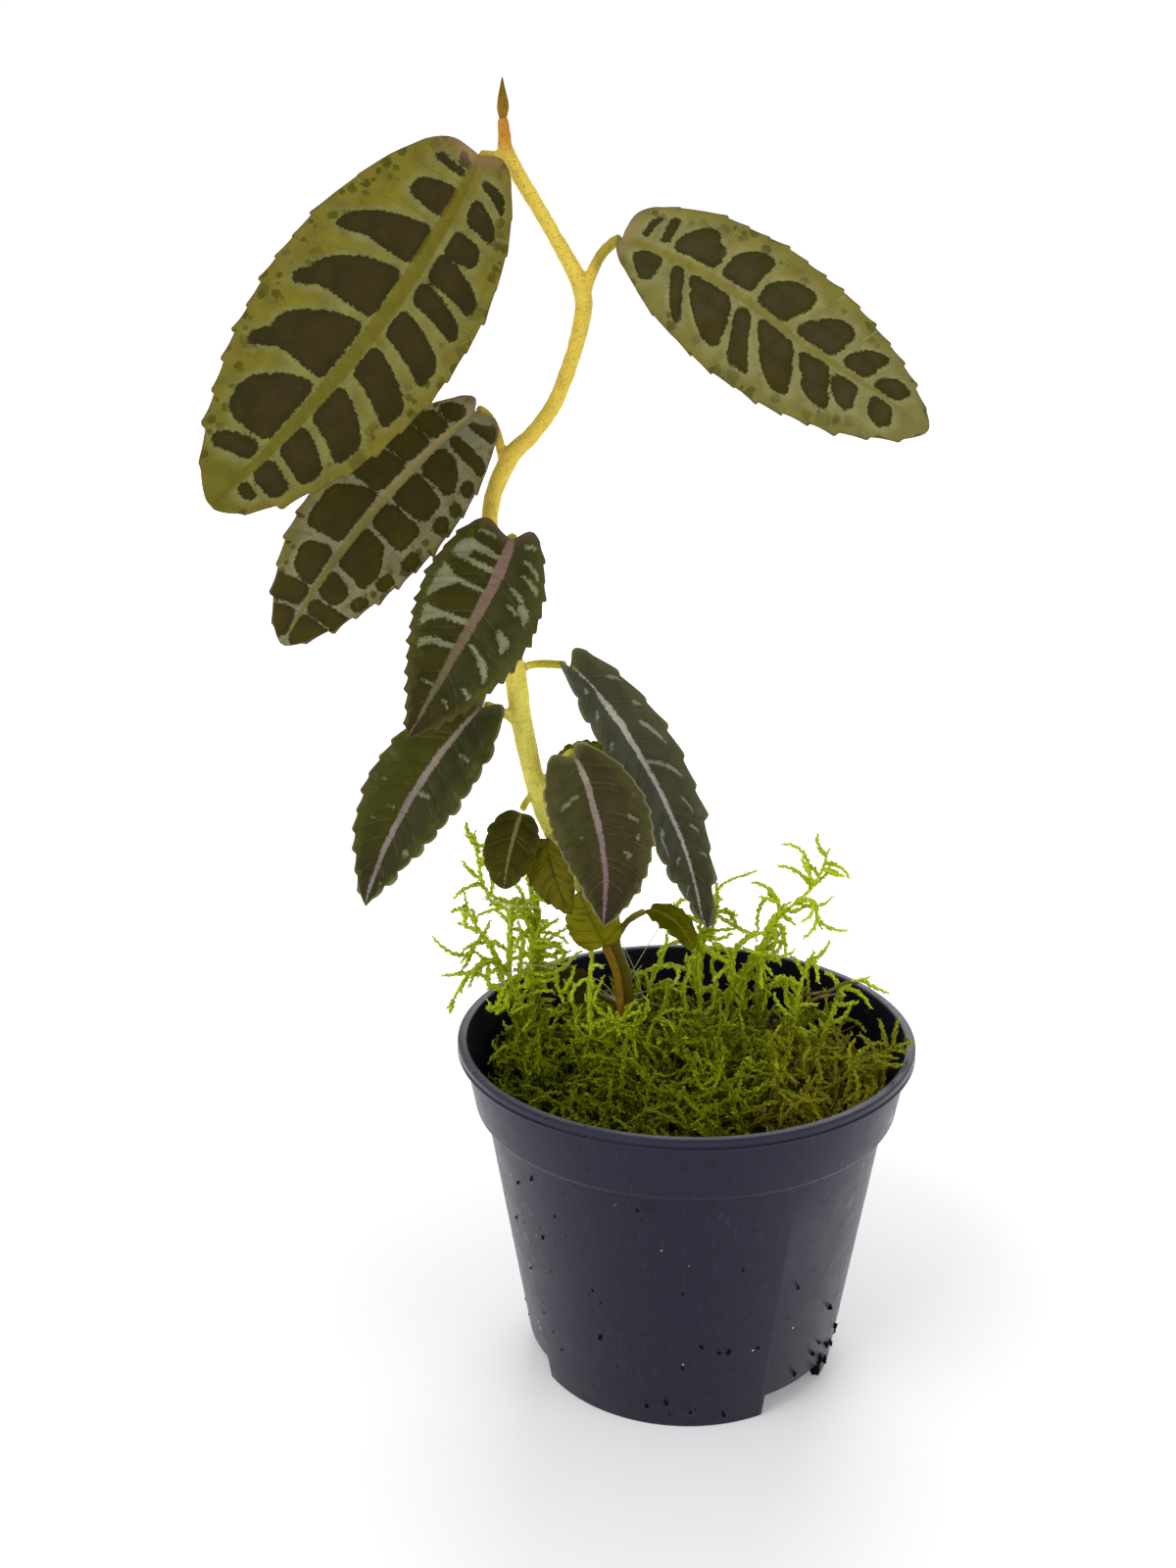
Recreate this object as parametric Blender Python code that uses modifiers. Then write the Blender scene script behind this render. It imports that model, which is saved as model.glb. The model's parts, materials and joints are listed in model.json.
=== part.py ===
"""Potted labisia: a young leafy shoot in a round nursery pot, with live moss on the potting mix.

Lengths are metres and +Z is up. The origin is the centre of the pot's underside, where it stands.
The front of the plant, towards which most blades look, is -Y. MM turns millimetres into metres.
"""

import math
import random
from dataclasses import dataclass

import bmesh
import bpy
from mathutils import Vector
from mathutils.bvhtree import BVHTree

MM = 0.001

# Pot
POT_SIDES = 40
RIM_RADIUS = 45.0 * MM
POT_HEIGHT = 69.0 * MM
LIP_WIDTH = 2.0 * MM
LIP_DEPTH = 2.2 * MM
COLLAR_TOP_RADIUS = 43.6 * MM
COLLAR_BOTTOM_RADIUS = 41.7 * MM
COLLAR_BOTTOM = 55.0 * MM
FOOT_RADIUS = 30.9 * MM
SHOULDER_RADIUS = 39.7 * MM
WALL = 1.1 * MM
PAD_RADIUS = 20.5 * MM
CHANNEL_ROOF = 5.6 * MM
GATE_ANGLES = (-43.0, -163.0, 77.0)
GATE_WIDTH = 17.5 * MM
GATE_HEIGHT = 5.0 * MM
DRAIN_RADIUS = 2.4 * MM
DRAIN_CIRCLE = 25.6 * MM
DRAIN_COUNT = 6

# Potting mix
FIT_GAP = 0.35 * MM
MIX_LEVEL = 52.0 * MM
MIX_RISE = 0.055
MIX_RIPPLE = 0.7 * MM

# Shoot
STEM_HOLE_GAP = 0.4 * MM
STEM_SINK = 16.0 * MM
PETIOLE_RADIUS = 1.0 * MM
PETIOLE_SHORT = 0.5 * MM
PETIOLE_BEHIND = 1.1 * MM
BLADE_THICKNESS = 0.65 * MM
BUD_LENGTH = 6.2 * MM
BUD_RADIUS = 1.05 * MM

# Moss
MOSS_GAP = 0.4 * MM
MOSS_RADIUS = 0.62 * MM
MOSS_STEP = 4.2 * MM
CLEAR_OF_PLANT = 1.5 * MM
CLEAR_OF_POT = 1.1 * MM
MOSS_HOLE_GAP = 1.6 * MM
MOSS_SEED = 20


@dataclass(frozen=True)
class Blade:
    """One leaf blade. Lengths are millimetres, and shares are of the blade's length or half width."""

    name: str
    base: tuple
    tip: tuple
    looks: tuple
    width: float
    base_round: float
    tip_round: float
    arch: float
    sway: float
    uneven: float
    skew: float
    fold: float
    curl: float
    lobe: float
    teeth: int
    tooth: float
    root: tuple
    lift: float
    level: float
    colour: str


# Base, tip, where the upper side looks, width, roundness of base and tip, arch, sway,
# uneven, skew, fold, curl, lobe, teeth, tooth, petiole's root, lift, level, colour
BLADES = (
    Blade("leaf_top_left", (-36.1, -6.5, 231.6), (-79.1, -32, 176.0), (0.1, -0.95, 0.25), 34.8, 0.52, 0.63,
          0.04, 0.06, -0.17, -0.03, 0.06, 0.10, 3.2, 13, 0.6, (-32.4, -3, 231.5), 0.0, 1, "olive"),
    Blade("leaf_top_right", (-12.6, -3, 218.3), (39.2, -18, 187.0), (0.1, -0.93, 0.32), 25.6, 0.56, 0.70,
          0.04, 0.02, -0.06, 0.30, 0.08, 0.12, 1.5, 15, 0.45, (-19.9, 1, 205.0), 0.36, 1, "olive"),
    Blade("leaf_upper_left", (-39.0, 1.5, 189.1), (-72.9, -14, 149.0), (0.1, -0.94, 0.32), 24.6, 0.60, 0.71,
          0.04, -0.039, 0.07, 0.14, 0.08, 0.12, 3.6, 11, 0.6, (-34.0, 3, 179.5), 0.1, 1, "olive"),
    Blade("leaf_middle", (-31.8, -9, 167.5), (-49.3, -24, 134.6), (0.05, -0.92, 0.38), 22.4, 0.50, 0.95,
          0.05, 0.037, -0.07, -0.15, 0.06, 0.16, 4.8, 15, 0.7, (-35.8, 0, 160), 0.1, 1, "green"),
    Blade("leaf_lower_right", (-22.1, -3, 143.2), (4.2, -8, 93.6), (0.42, -0.85, 0.32), 14.4, 0.64, 0.86,
          0.05, 0.055, 0.07, 0.28, 0.18, 0.10, 4.2, 16, 0.7, (-32.3, -2, 141.0), 0.3, 1, "green"),
    Blade("leaf_lower_left", (-38.2, -7, 136.4), (-59.3, -18, 100.8), (-0.34, -0.88, 0.34), 19.4, 0.65, 0.96,
          0.05, -0.041, -0.03, 0.20, 0.18, 0.12, 5.0, 15, 0.7, (-31.4, -2, 131.0), 0.1, 1, "green"),
    Blade("leaf_front", (-20.8, -13, 128.8), (-14.9, -23, 99.6), (-0.05, -0.93, 0.36), 18.4, 0.60, 0.92,
          0.05, 0.09, 0.02, -0.20, 0.08, 0.20, 4.0, 14, 0.5, (-28.2, -1.3, 117.0), 0.0, 1, "green"),
    Blade("leaf_behind", (-24.6, -2.6, 122.5), (-13.6, -1.2, 125.2), (0.0, -0.90, 0.40), 9.4, 0.42, 0.55,
          0.04, 0.0, 0.0, 0.0, 0.10, 0.10, 0.8, 7, 0.5, (-28.6, -1.3, 119.5), 0.1, 1, "green"),
    Blade("leaf_small_left", (-31.3, -5, 115.3), (-34.4, -9.5, 101.5), (-0.1, -0.95, 0.28), 10.2, 0.42, 0.61,
          0.05, -0.02, -0.03, 0.04, 0.10, 0.14, 0.4, 6, 0.4, (-28.6, -1, 119.5), -0.1, 0, "young"),
    Blade("leaf_small_middle", (-26.6, -5, 110.3), (-21.7, -9, 96.4), (-0.1, -0.93, 0.30), 8.5, 0.67, 0.92,
          0.05, -0.045, -0.22, -0.28, 0.06, 0.12, 0.5, 8, 0.4, (-26.0, 0, 111.0), 0.1, 1, "young"),
    Blade("leaf_basal_left", (-15.8, -1.6, 87.2), (-20.6, -3.8, 99.0), (-0.1, -0.96, 0.20), 10.5, 0.34, 0.50,
          0.05, 0.0, 0.0, 0.0, 0.06, 0.10, 0.5, 7, 0.4, (-12.9, 2.7, 52.0), 0.3, 0, "young"),
    Blade("leaf_basal_right", (-7.2, 3.0, 93.4), (1.6, -1.0, 86.6), (0.20, -0.25, 0.94), 8.0, 0.42, 0.60,
          0.16, 0.0, 0.0, 0.0, 0.14, 0.10, 0.6, 5, 0.6, (-14.2, 4, 85.0), 0.3, 1, "young"),
    Blade("leaf_old_low", (-18.6, 9.0, 72.8), (-27.4, 10.5, 74.6), (0.05, -0.80, 0.60), 7.4, 0.42, 0.50,
          0.12, 0.0, 0.0, 0.0, 0.10, 0.10, 0.5, 5, 0.4, (-12.0, 5.9, 69.5), 0.2, 1, "young"),
)
BASAL_BLADE = "leaf_basal_left"

# The stem's way up, as (x, y, z, radius) in millimetres: it turns a little at each leaf
STEM_WAY = (
    (-11.4, 6.5, 36.0, 1.5), (-11.5, 6.5, 52.0, 1.65), (-11.8, 6.1, 68.0, 1.65), (-13.0, 4.7, 80.6, 1.65),
    (-19.2, 1.9, 96.1, 1.65), (-23.8, 0.4, 105.7, 1.75), (-27.9, -1.2, 116.0, 1.9), (-31.2, -2.0, 131.8, 2.1),
    (-32.3, -2.0, 141.0, 2.1), (-35.0, -0.3, 155.0, 1.8), (-36.9, 2.0, 170.0, 1.6), (-33.3, 3.0, 180.2, 1.75),
    (-29.0, 3.4, 184.6, 1.55), (-24.4, 3.0, 191.1, 1.5), (-20.2, 1.6, 202.6, 1.5), (-19.8, 1.0, 210.0, 1.6),
    (-25.0, -1.2, 220.0, 1.3), (-31.6, -2.9, 231.2, 1.4), (-32.4, -3.0, 235.0, 1.1), (-32.6, -3.0, 237.6, 0.9),
)

COLOURS = {
    "pot": ((0.020, 0.021, 0.028, 1), 0.42),
    "mix": ((0.045, 0.028, 0.018, 1), 0.95),
    "stem": ((0.55, 0.47, 0.09, 1), 0.55),
    "bud": ((0.20, 0.16, 0.03, 1), 0.50),
    "old": ((0.40, 0.17, 0.04, 1), 0.60),
    "olive": ((0.13, 0.13, 0.03, 1), 0.45),
    "green": ((0.045, 0.065, 0.03, 1), 0.42),
    "young": ((0.12, 0.11, 0.01, 1), 0.45),
    "moss": ((0.20, 0.36, 0.01, 1), 0.60),
    "litter": ((0.17, 0.15, 0.03, 1), 0.80),
}


def clear_scene():
    for obj in list(bpy.data.objects):
        bpy.data.objects.remove(obj, do_unlink=True)


def make_materials():
    made = {}
    for name, (colour, roughness) in COLOURS.items():
        material = bpy.data.materials.new(name)
        material.use_nodes = True
        shader = material.node_tree.nodes["Principled BSDF"]
        shader.inputs["Base Color"].default_value = colour
        shader.inputs["Roughness"].default_value = roughness
        made[name] = material
    return made


def add_object(name, mesh, collection, material=None):
    obj = bpy.data.objects.new(name, mesh)
    collection.objects.link(obj)
    if material:
        mesh.materials.append(material)
    return obj


def mesh_from(bm, name):
    mesh = bpy.data.meshes.new(name)
    bm.to_mesh(mesh)
    bm.free()
    return mesh


def evaluated_mesh(obj):
    """The object's mesh with its modifiers applied."""
    bpy.context.view_layer.update()
    return bpy.data.meshes.new_from_object(obj.evaluated_get(bpy.context.evaluated_depsgraph_get()))


def apply_modifiers(obj):
    mesh = evaluated_mesh(obj)
    obj.modifiers.clear()
    obj.data = mesh


def turned(name, profile, collection, material=None, sides=POT_SIDES):
    """Turns a profile of (radius, height) points about Z. It starts and ends on the axis."""
    bm = bmesh.new()
    points = [bm.verts.new((radius, 0, height)) for radius, height in profile]
    for first, second in zip(points, points[1:]):
        bm.edges.new((first, second))
    obj = add_object(name, mesh_from(bm, name), collection, material)
    screw = obj.modifiers.new("turn", "SCREW")
    screw.steps = screw.render_steps = sides
    screw.use_merge_vertices = True
    screw.merge_threshold = 0.00002
    apply_modifiers(obj)
    obj.data.shade_smooth()
    obj.data.set_sharp_from_angle(angle=math.radians(35))
    return obj


def arc(centre, radius, start, end, steps):
    """Points on an arc in the profile plane, by angle in degrees from +X."""
    angles = [math.radians(start + (end - start) * i / steps) for i in range(steps + 1)]
    return [(centre[0] + radius * math.cos(a), centre[1] + radius * math.sin(a)) for a in angles]


def wall_radius(height):
    """The outside of the pot's tapered body at a height."""
    return FOOT_RADIUS + (SHOULDER_RADIUS - FOOT_RADIUS) * height / COLLAR_BOTTOM


def pot_profile():
    """From the middle of the floor, up the inside, over the lip and down the outside to the pad."""
    floor = CHANNEL_ROOF + WALL
    lip_round = LIP_WIDTH / 2
    lip_centre = (RIM_RADIUS - lip_round, POT_HEIGHT - lip_round)
    collar_inner_top = RIM_RADIUS - LIP_WIDTH
    inside = [
        (0, WALL),
        (PAD_RADIUS - WALL, WALL),
        (PAD_RADIUS, floor),
        (wall_radius(floor) - WALL, floor),
        (SHOULDER_RADIUS - WALL, COLLAR_BOTTOM - WALL),
        (COLLAR_BOTTOM_RADIUS - WALL, COLLAR_BOTTOM + WALL),
        (collar_inner_top, POT_HEIGHT - LIP_DEPTH),
    ]
    lip = arc(lip_centre, lip_round, 180, 0, 4)
    outside = [
        (RIM_RADIUS, POT_HEIGHT - LIP_DEPTH),
        (COLLAR_TOP_RADIUS, POT_HEIGHT - LIP_DEPTH - 0.5 * MM),
        (COLLAR_BOTTOM_RADIUS, COLLAR_BOTTOM + 0.8 * MM),
        (COLLAR_BOTTOM_RADIUS - 0.7 * MM, COLLAR_BOTTOM),
        (SHOULDER_RADIUS, COLLAR_BOTTOM - 0.4 * MM),
        (FOOT_RADIUS, 0),
        (FOOT_RADIUS - WALL, 0),
        (wall_radius(CHANNEL_ROOF) - WALL, CHANNEL_ROOF),
        (PAD_RADIUS + WALL, CHANNEL_ROOF),
        (PAD_RADIUS, 0),
        (0, 0),
    ]
    return inside + lip + outside


def cut(obj, cutters, operation="DIFFERENCE", solver="EXACT"):
    """Cuts obj by, or joins it with, every object of a collection, and clears the collection."""
    boolean = obj.modifiers.new("boolean", "BOOLEAN")
    boolean.operation = operation
    boolean.operand_type = "COLLECTION"
    boolean.collection = cutters
    boolean.solver = solver
    apply_modifiers(obj)
    for cutter in list(cutters.objects):
        bpy.data.objects.remove(cutter, do_unlink=True)


def add_helper(name, bm, helpers):
    obj = add_object(name, mesh_from(bm, name), helpers)
    obj.hide_render = True
    obj.display_type = "WIRE"
    return obj


def build_pot(parts, helpers, materials):
    """The shell, with three gates in its foot and round drain holes in the channel behind them."""
    pot = turned("pot", pot_profile(), parts, materials["pot"])
    inner, outer = FOOT_RADIUS - 5 * MM, FOOT_RADIUS + 5 * MM
    for angle in GATE_ANGLES:
        bm = bmesh.new()
        bmesh.ops.create_cube(bm, size=1)
        bmesh.ops.scale(bm, vec=(outer - inner, GATE_WIDTH, 2 * GATE_HEIGHT), verts=bm.verts)
        gate = add_helper("gate", bm, helpers)
        turn = math.radians(angle)
        middle = (inner + outer) / 2
        gate.location = (middle * math.cos(turn), middle * math.sin(turn), 0)
        gate.rotation_euler = (0, 0, turn)
    for i in range(DRAIN_COUNT):
        bm = bmesh.new()
        bmesh.ops.create_cone(bm, cap_ends=True, segments=12, radius1=DRAIN_RADIUS, radius2=DRAIN_RADIUS,
                              depth=6 * WALL)
        drain = add_helper("drain", bm, helpers)
        turn = math.radians(GATE_ANGLES[0] + i * 360 / DRAIN_COUNT)
        drain.location = (DRAIN_CIRCLE * math.cos(turn), DRAIN_CIRCLE * math.sin(turn), CHANNEL_ROOF)
    cut(pot, helpers)
    return pot


def mix_height(x):
    """The potting mix lies a little higher on the right."""
    return MIX_LEVEL + MIX_RISE * x


def build_mix(parts, helpers, materials):
    """The plug of potting mix fills the pot, and has plain holes where the shoot stands in it."""
    floor = CHANNEL_ROOF + WALL + FIT_GAP
    top_radius = wall_radius(MIX_LEVEL) - WALL - FIT_GAP - 0.4 * MM
    inside = wall_radius(floor) - WALL - FIT_GAP
    rings = [top_radius * share for share in (0, 0.45, 0.8, 0.94)]
    profile = [(radius, MIX_LEVEL) for radius in rings] + [
        (top_radius, MIX_LEVEL - 1.2 * MM),
        (inside, floor),
        (PAD_RADIUS - FIT_GAP, floor),
        (PAD_RADIUS - WALL - FIT_GAP, WALL + FIT_GAP),
        (0, WALL + FIT_GAP),
    ]
    mix = turned("potting_mix", profile, parts, materials["mix"], sides=36)
    for vertex in mix.data.vertices:
        if vertex.co.z > MIX_LEVEL - 2 * MM:
            vertex.co.z += MIX_RISE * vertex.co.x
            if vertex.co.xy.length > 0.97 * top_radius:
                angle = math.atan2(vertex.co.y, vertex.co.x)
                vertex.co.z -= MIX_RIPPLE * (1 + math.sin(5 * angle) * math.sin(3 * angle + 1))
    cut_stem_holes(mix, helpers, STEM_HOLE_GAP)
    return mix


def cut_stem_holes(obj, helpers, gap):
    """Plain round holes where the stem and the basal petiole stand."""
    foot = Vector(STEM_WAY[0][:2]) * MM
    basal = Vector(blade_named(BASAL_BLADE).root[:2]) * MM
    for place, radius in ((foot, STEM_WAY[1][3] * MM), (basal, PETIOLE_RADIUS)):
        bm = bmesh.new()
        wide = radius + gap
        bmesh.ops.create_cone(bm, cap_ends=True, segments=12, radius1=wide, radius2=wide,
                              depth=2 * (STEM_SINK + 2 * MM))
        hole = add_helper("hole", bm, helpers)
        hole.location = (place.x, place.y, MIX_LEVEL)
    cut(obj, helpers)


def blade_named(name):
    return next(blade for blade in BLADES if blade.name == name)


class BladeShape:
    """Turns places on a blade, along its midrib and across it, into points in space."""

    def __init__(self, blade):
        self.blade = blade
        self.base = Vector(blade.base) * MM
        self.tip = Vector(blade.tip) * MM
        chord = self.tip - self.base
        self.length = chord.length
        along = chord.normalized()
        looks = Vector(blade.looks)
        self.normal = (looks - along * looks.dot(along)).normalized()
        self.side = self.normal.cross(along)
        bend = self.normal * blade.arch + self.side * blade.sway
        self.bow = (self.base + self.tip) / 2 + bend * (2 * self.length)

    def half_width(self, u, v):
        """The skew makes the base rounder on one side than on the other."""
        base_round = self.blade.base_round * (1 - self.blade.skew * (v > 0) + self.blade.skew * (v < 0))
        tip_round = self.blade.tip_round
        widest = base_round / (base_round + tip_round)
        peak = widest ** base_round * (1 - widest) ** tip_round
        return self.blade.width / 2 * MM * u ** base_round * (1 - u) ** tip_round / peak

    def heading(self, u):
        return ((self.bow - self.base) * (1 - u) + (self.tip - self.bow) * u).normalized()

    def midrib(self, u):
        return self.base * (1 - u) ** 2 + self.bow * (2 * u * (1 - u)) + self.tip * u ** 2

    def point(self, u, v, tooth=0.0, forward=0.0):
        """v runs from -1 to 1 across. A tooth pushes the margin out, and forward shifts it to the tip."""
        blade = self.blade
        along = self.heading(u)
        side = self.normal.cross(along).normalized()
        up = along.cross(side)
        half = self.half_width(u, v)
        back = blade.lobe * MM * (1 - math.exp(-u / 0.012)) * (1 - u) ** 6 * abs(v) ** 1.5
        rise = half * (blade.fold * abs(v) - blade.curl * v * v)
        across = v * half * (1 + math.copysign(1, v) * blade.uneven) + math.copysign(tooth, v)
        return self.midrib(u) + side * across + up * rise + along * (forward - back)


def margin_stations(teeth):
    """(place along the midrib, share of a tooth, shift to the tip) from base to tip, two for each tooth."""
    stations = [(0.003, 0, 0), (0.012, 0, 0), (0.028, 0, 0)]
    first, last = 0.05, 0.965
    step = (last - first) / teeth
    for i in range(teeth):
        start = first + i * step
        stations += [(start, 0, 0), (start + 0.75 * step, 1, 0.12 * step)]
    return stations + [(0.975, 0, 0), (0.994, 0, 0)]


def build_blade(blade, parts, materials):
    """A toothed blade, bent along its midrib, from a grid that is then given its thickness."""
    shape = BladeShape(blade)
    stations = margin_stations(blade.teeth)
    across = 4 if blade.width > 12 else 2
    bm = bmesh.new()
    bmesh.ops.create_grid(bm, x_segments=len(stations) - 1, y_segments=across, size=1)
    for vertex in bm.verts:
        u, share, shift = stations[round((vertex.co.x + 1) / 2 * (len(stations) - 1))]
        v = vertex.co.y
        at_margin = abs(v) > 0.99
        tooth = share * blade.tooth * MM if at_margin else 0
        forward = shift * shape.length if at_margin else 0
        vertex.co = shape.point(u, v, tooth, forward)
    bmesh.ops.triangulate(bm, faces=bm.faces[:])
    obj = add_object(blade.name, mesh_from(bm, blade.name), parts, materials[blade.colour])
    solidify = obj.modifiers.new("thickness", "SOLIDIFY")
    solidify.thickness = BLADE_THICKNESS
    solidify.offset = 0
    return obj


def tube(name, way, collection, resolution, sides_level, handles=None):
    """A round tube through (point, radius) pairs, closed at both ends, as a mesh."""
    curve = bpy.data.curves.new(name, "CURVE")
    curve.dimensions = "3D"
    curve.bevel_depth = 1
    curve.bevel_resolution = sides_level
    curve.resolution_u = resolution
    curve.use_fill_caps = True
    spline = curve.splines.new("BEZIER")
    spline.bezier_points.add(len(way) - 1)
    for knot, (point, radius) in zip(spline.bezier_points, way):
        knot.co = point
        knot.radius = radius
        knot.handle_left_type = knot.handle_right_type = "AUTO"
    if handles:
        first, last = spline.bezier_points[0], spline.bezier_points[-1]
        for knot in (first, last):
            knot.handle_left_type = knot.handle_right_type = "FREE"
        first.handle_right, last.handle_left = handles
        first.handle_left = first.co * 2 - first.handle_right
        last.handle_right = last.co * 2 - last.handle_left
    guide = bpy.data.objects.new(name, curve)
    collection.objects.link(guide)
    mesh = evaluated_mesh(guide)
    bpy.data.objects.remove(guide, do_unlink=True)
    bm = bmesh.new()
    bm.from_mesh(mesh)
    bmesh.ops.remove_doubles(bm, verts=bm.verts, dist=0.00001)
    bmesh.ops.recalc_face_normals(bm, faces=bm.faces)
    return add_object(name, mesh_from(bm, name), collection)


def petiole_way(blade):
    """From inside the stem to just short of the blade, with the handles that bow it.

    It leaves the stem upwards by its lift. It meets the blade level from behind, or else along the midrib.
    """
    shape = BladeShape(blade)
    along = shape.heading(0)
    behind = shape.normal * PETIOLE_BEHIND if blade.level else Vector()
    end = shape.base - along * PETIOLE_SHORT - behind
    root = Vector(blade.root) * MM
    reach = (end - root).length
    level = Vector((root.x - end.x, root.y - end.y, 0)).normalized()
    arrive = (level - 0.8 * shape.normal).normalized() if blade.level else -along
    meet = end + 0.35 * reach * arrive
    leave = root + (end - root) * 0.2 + Vector((0, 0, blade.lift * reach))
    big = 0.6 + 0.4 * min(1, blade.width / 26)
    return [(root, PETIOLE_RADIUS * big * 1.15), (end, PETIOLE_RADIUS * big)], (leave, meet)


def build_shoot(parts, helpers, materials):
    """The stem and its petioles grew as one; the old basal petiole and the end bud have their own colours."""
    way = [(Vector(spot[:3]) * MM, spot[3] * MM) for spot in STEM_WAY]
    stem = tube("stem", way, parts, 3, 2)
    stem.data.materials.append(materials["stem"])
    for blade in BLADES:
        ends, handles = petiole_way(blade)
        if blade.name == BASAL_BLADE:
            ends[0] = (ends[0][0] - Vector((0, 0, STEM_SINK)), ends[0][1])
            basal = tube("basal_petiole", ends, parts, 8, 1, handles)
            basal.data.materials.append(materials["old"])
        else:
            tube("petiole", ends, helpers, 5, 1, handles)
    cut(stem, helpers, "UNION")
    for obj in (stem, basal):
        obj.data.shade_smooth()
    return stem, basal


def build_bud(parts, materials):
    """A narrow pointed bud of folded young leaves, standing on the stem's end."""
    swell = [(0.0, 0.45), (0.12, 0.75), (0.35, 1.0), (0.6, 0.72), (0.82, 0.32)]
    profile = [(0, BUD_LENGTH)]
    profile += [(BUD_RADIUS * width, BUD_LENGTH * share) for share, width in reversed(swell)]
    bud = turned("end_bud", profile + [(0, 0)], parts, materials["bud"], sides=10)
    bud.location = Vector(STEM_WAY[-1][:3]) * MM + Vector((0, 0, 0.35 * MM))
    return bud


@dataclass(frozen=True)
class MossClump:
    """One body of moss: a low core, long leading shoots, and seeded shoots. Lengths are millimetres."""

    name: str
    centre: tuple
    spread: tuple
    height: float
    leaders: tuple
    shoots: int
    shoot_length: tuple
    heading: tuple
    scatter: float
    colour: str


LEFT_LEADERS = (
    ((-31.0, 12, 56), (-31.4, 10, 76), (-31.6, 9, 87), (-35.0, 8, 92), (-40.2, 8, 95), (-41.8, 6, 107.5)),
    ((-32.5, 11, 57), (-34.4, 9, 72), (-40.0, 8, 83.5), (-43.1, 7, 89.5), (-44.2, 6, 95)),
    ((-30.0, 14, 58), (-30.4, 13, 74), (-30.2, 11, 86), (-31.6, 8, 98)),
    ((-34.0, 12, 58), (-35.8, 9.5, 77), (-35.6, 9, 85), (-35.1, 7, 91.5)),
    ((-36.6, 8, 77.0), (-39.5, 6, 80.5), (-43.0, 4, 78.5), (-47.3, 2, 72.0)),
    ((-41.6, 7.5, 86.0), (-45.5, 6, 88.5)),
    ((-41.0, 7.5, 85.0), (-44.8, 5, 80.5)),
)
RIGHT_LEADERS = (
    ((7.6, 20, 56), (9.8, 15, 72), (14.9, 10, 82.3), (16.9, 9, 88), (21.6, 8, 93.3), (25.3, 7, 97.8), (27.5, 6, 105)),
    ((24.9, 7, 97.3), (22.4, 7, 103)),
    ((26.4, 6.5, 101), (30.5, 6, 99.6)),
    ((21.6, 8, 93.3), (24.8, 8, 93.6), (26.7, 8, 88.0)),
    ((18.4, 8.6, 89.8), (18.2, 8, 93), (14.4, 8, 94.4)),
    ((3.2, 18, 56), (3.1, 13, 77), (4.2, 11, 87), (6.6, 10, 95.5), (13.9, 9, 99.5)),
    ((3.8, 11.5, 84.5), (5.5, 10, 90), (10.0, 9, 90)),
    ((21.7, 16, 55), (22.4, 11, 68), (23.1, 9, 75), (25.5, 8, 83)),
    ((26.0, 17, 55), (28.9, 12, 64), (31.8, 11, 73.8), (36.8, 11, 76.2)),
)
LITTER_LEADERS = (
    ((32.0, -8, 55), (36.0, -9, 64), (38.6, -9.2, 69.0), (41.6, -9.8, 71.5), (45.4, -10.0, 71.8)),
    ((30.5, 3, 55), (34.5, 0, 65), (38.2, -2, 64.0)),
)

# Tall sprays come first, so that the low cushions are grown clear of them
CLUMPS = (
    MossClump("moss_spray_left", (-30.5, 12.5), (5.0, 5.0), 8.0, LEFT_LEADERS, 5, (14, 26), (-0.1, -0.1, 1.0), 0.6,
              "moss"),
    MossClump("moss_spray_right", (15.0, 19.0), (14.0, 6.0), 8.0, RIGHT_LEADERS, 10, (10, 20), (0.1, -0.1, 1.0), 0.8,
              "moss"),
    MossClump("moss_cushion", (-9.0, -9.0), (25.0, 22.0), 12.0, (), 38, (8, 15), (0.0, -0.1, 0.8), 1.1, "moss"),
    MossClump("moss_cushion_back", (-12.0, 26.0), (13.0, 6.0), 9.0, (), 10, (8, 15), (0.0, -0.2, 0.9), 1.0, "moss"),
    MossClump("moss_litter", (27.0, -5.0), (9.5, 18.0), 6.0, LITTER_LEADERS, 18, (8, 16), (0.1, 0.0, 0.6), 1.2,
              "litter"),
)
SIDE_SHOOTS_PER_STEP = 0.32


def keep_in_pot(point):
    """Bends a moss point clear of the pot's wall and lip."""
    radius = point.xy.length
    if point.z < POT_HEIGHT + 1.2 * MM:
        free = wall_radius(min(point.z, COLLAR_BOTTOM)) - WALL - 1.5 * MM
        if point.z > COLLAR_BOTTOM + WALL:
            free = COLLAR_BOTTOM_RADIUS - WALL - 1.5 * MM
        if radius > free:
            if point.z > POT_HEIGHT - 4 * MM and radius > free + 1 * MM:
                point.z = POT_HEIGHT + 1.6 * MM
            else:
                point.xy *= free / radius
    floor = mix_height(point.x) + 1.2 * MM
    point.z = max(point.z, floor)
    return point


def moss_way(rng, root, heading, length, droop):
    """Points along one winding shoot. It stops where the pot would fold it back on itself."""
    points = [root]
    direction = heading.normalized()
    turn = Vector([rng.uniform(-1, 1) for _ in range(3)])
    for _ in range(max(2, round(length / MOSS_STEP))):
        wander = Vector([rng.uniform(-1, 1) for _ in range(3)])
        direction = (direction + 0.16 * turn + 0.22 * wander - Vector((0, 0, droop))).normalized()
        point = keep_in_pot(points[-1] + direction * MOSS_STEP)
        step = point - points[-1]
        if step.length < 0.6 * MOSS_STEP or step.normalized().dot(direction) < 0.3:
            break
        direction = step.normalized()
        points.append(point)
    return points


def leader_way(knots):
    """Even steps along a long shoot whose knots are given in millimetres."""
    points = [Vector(knots[0]) * MM]
    for start, end in zip(knots, knots[1:]):
        start, end = Vector(start) * MM, Vector(end) * MM
        steps = max(1, round((end - start).length / (1.5 * MOSS_STEP)))
        points += [start.lerp(end, (i + 1) / steps) for i in range(steps)]
    return points


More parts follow.
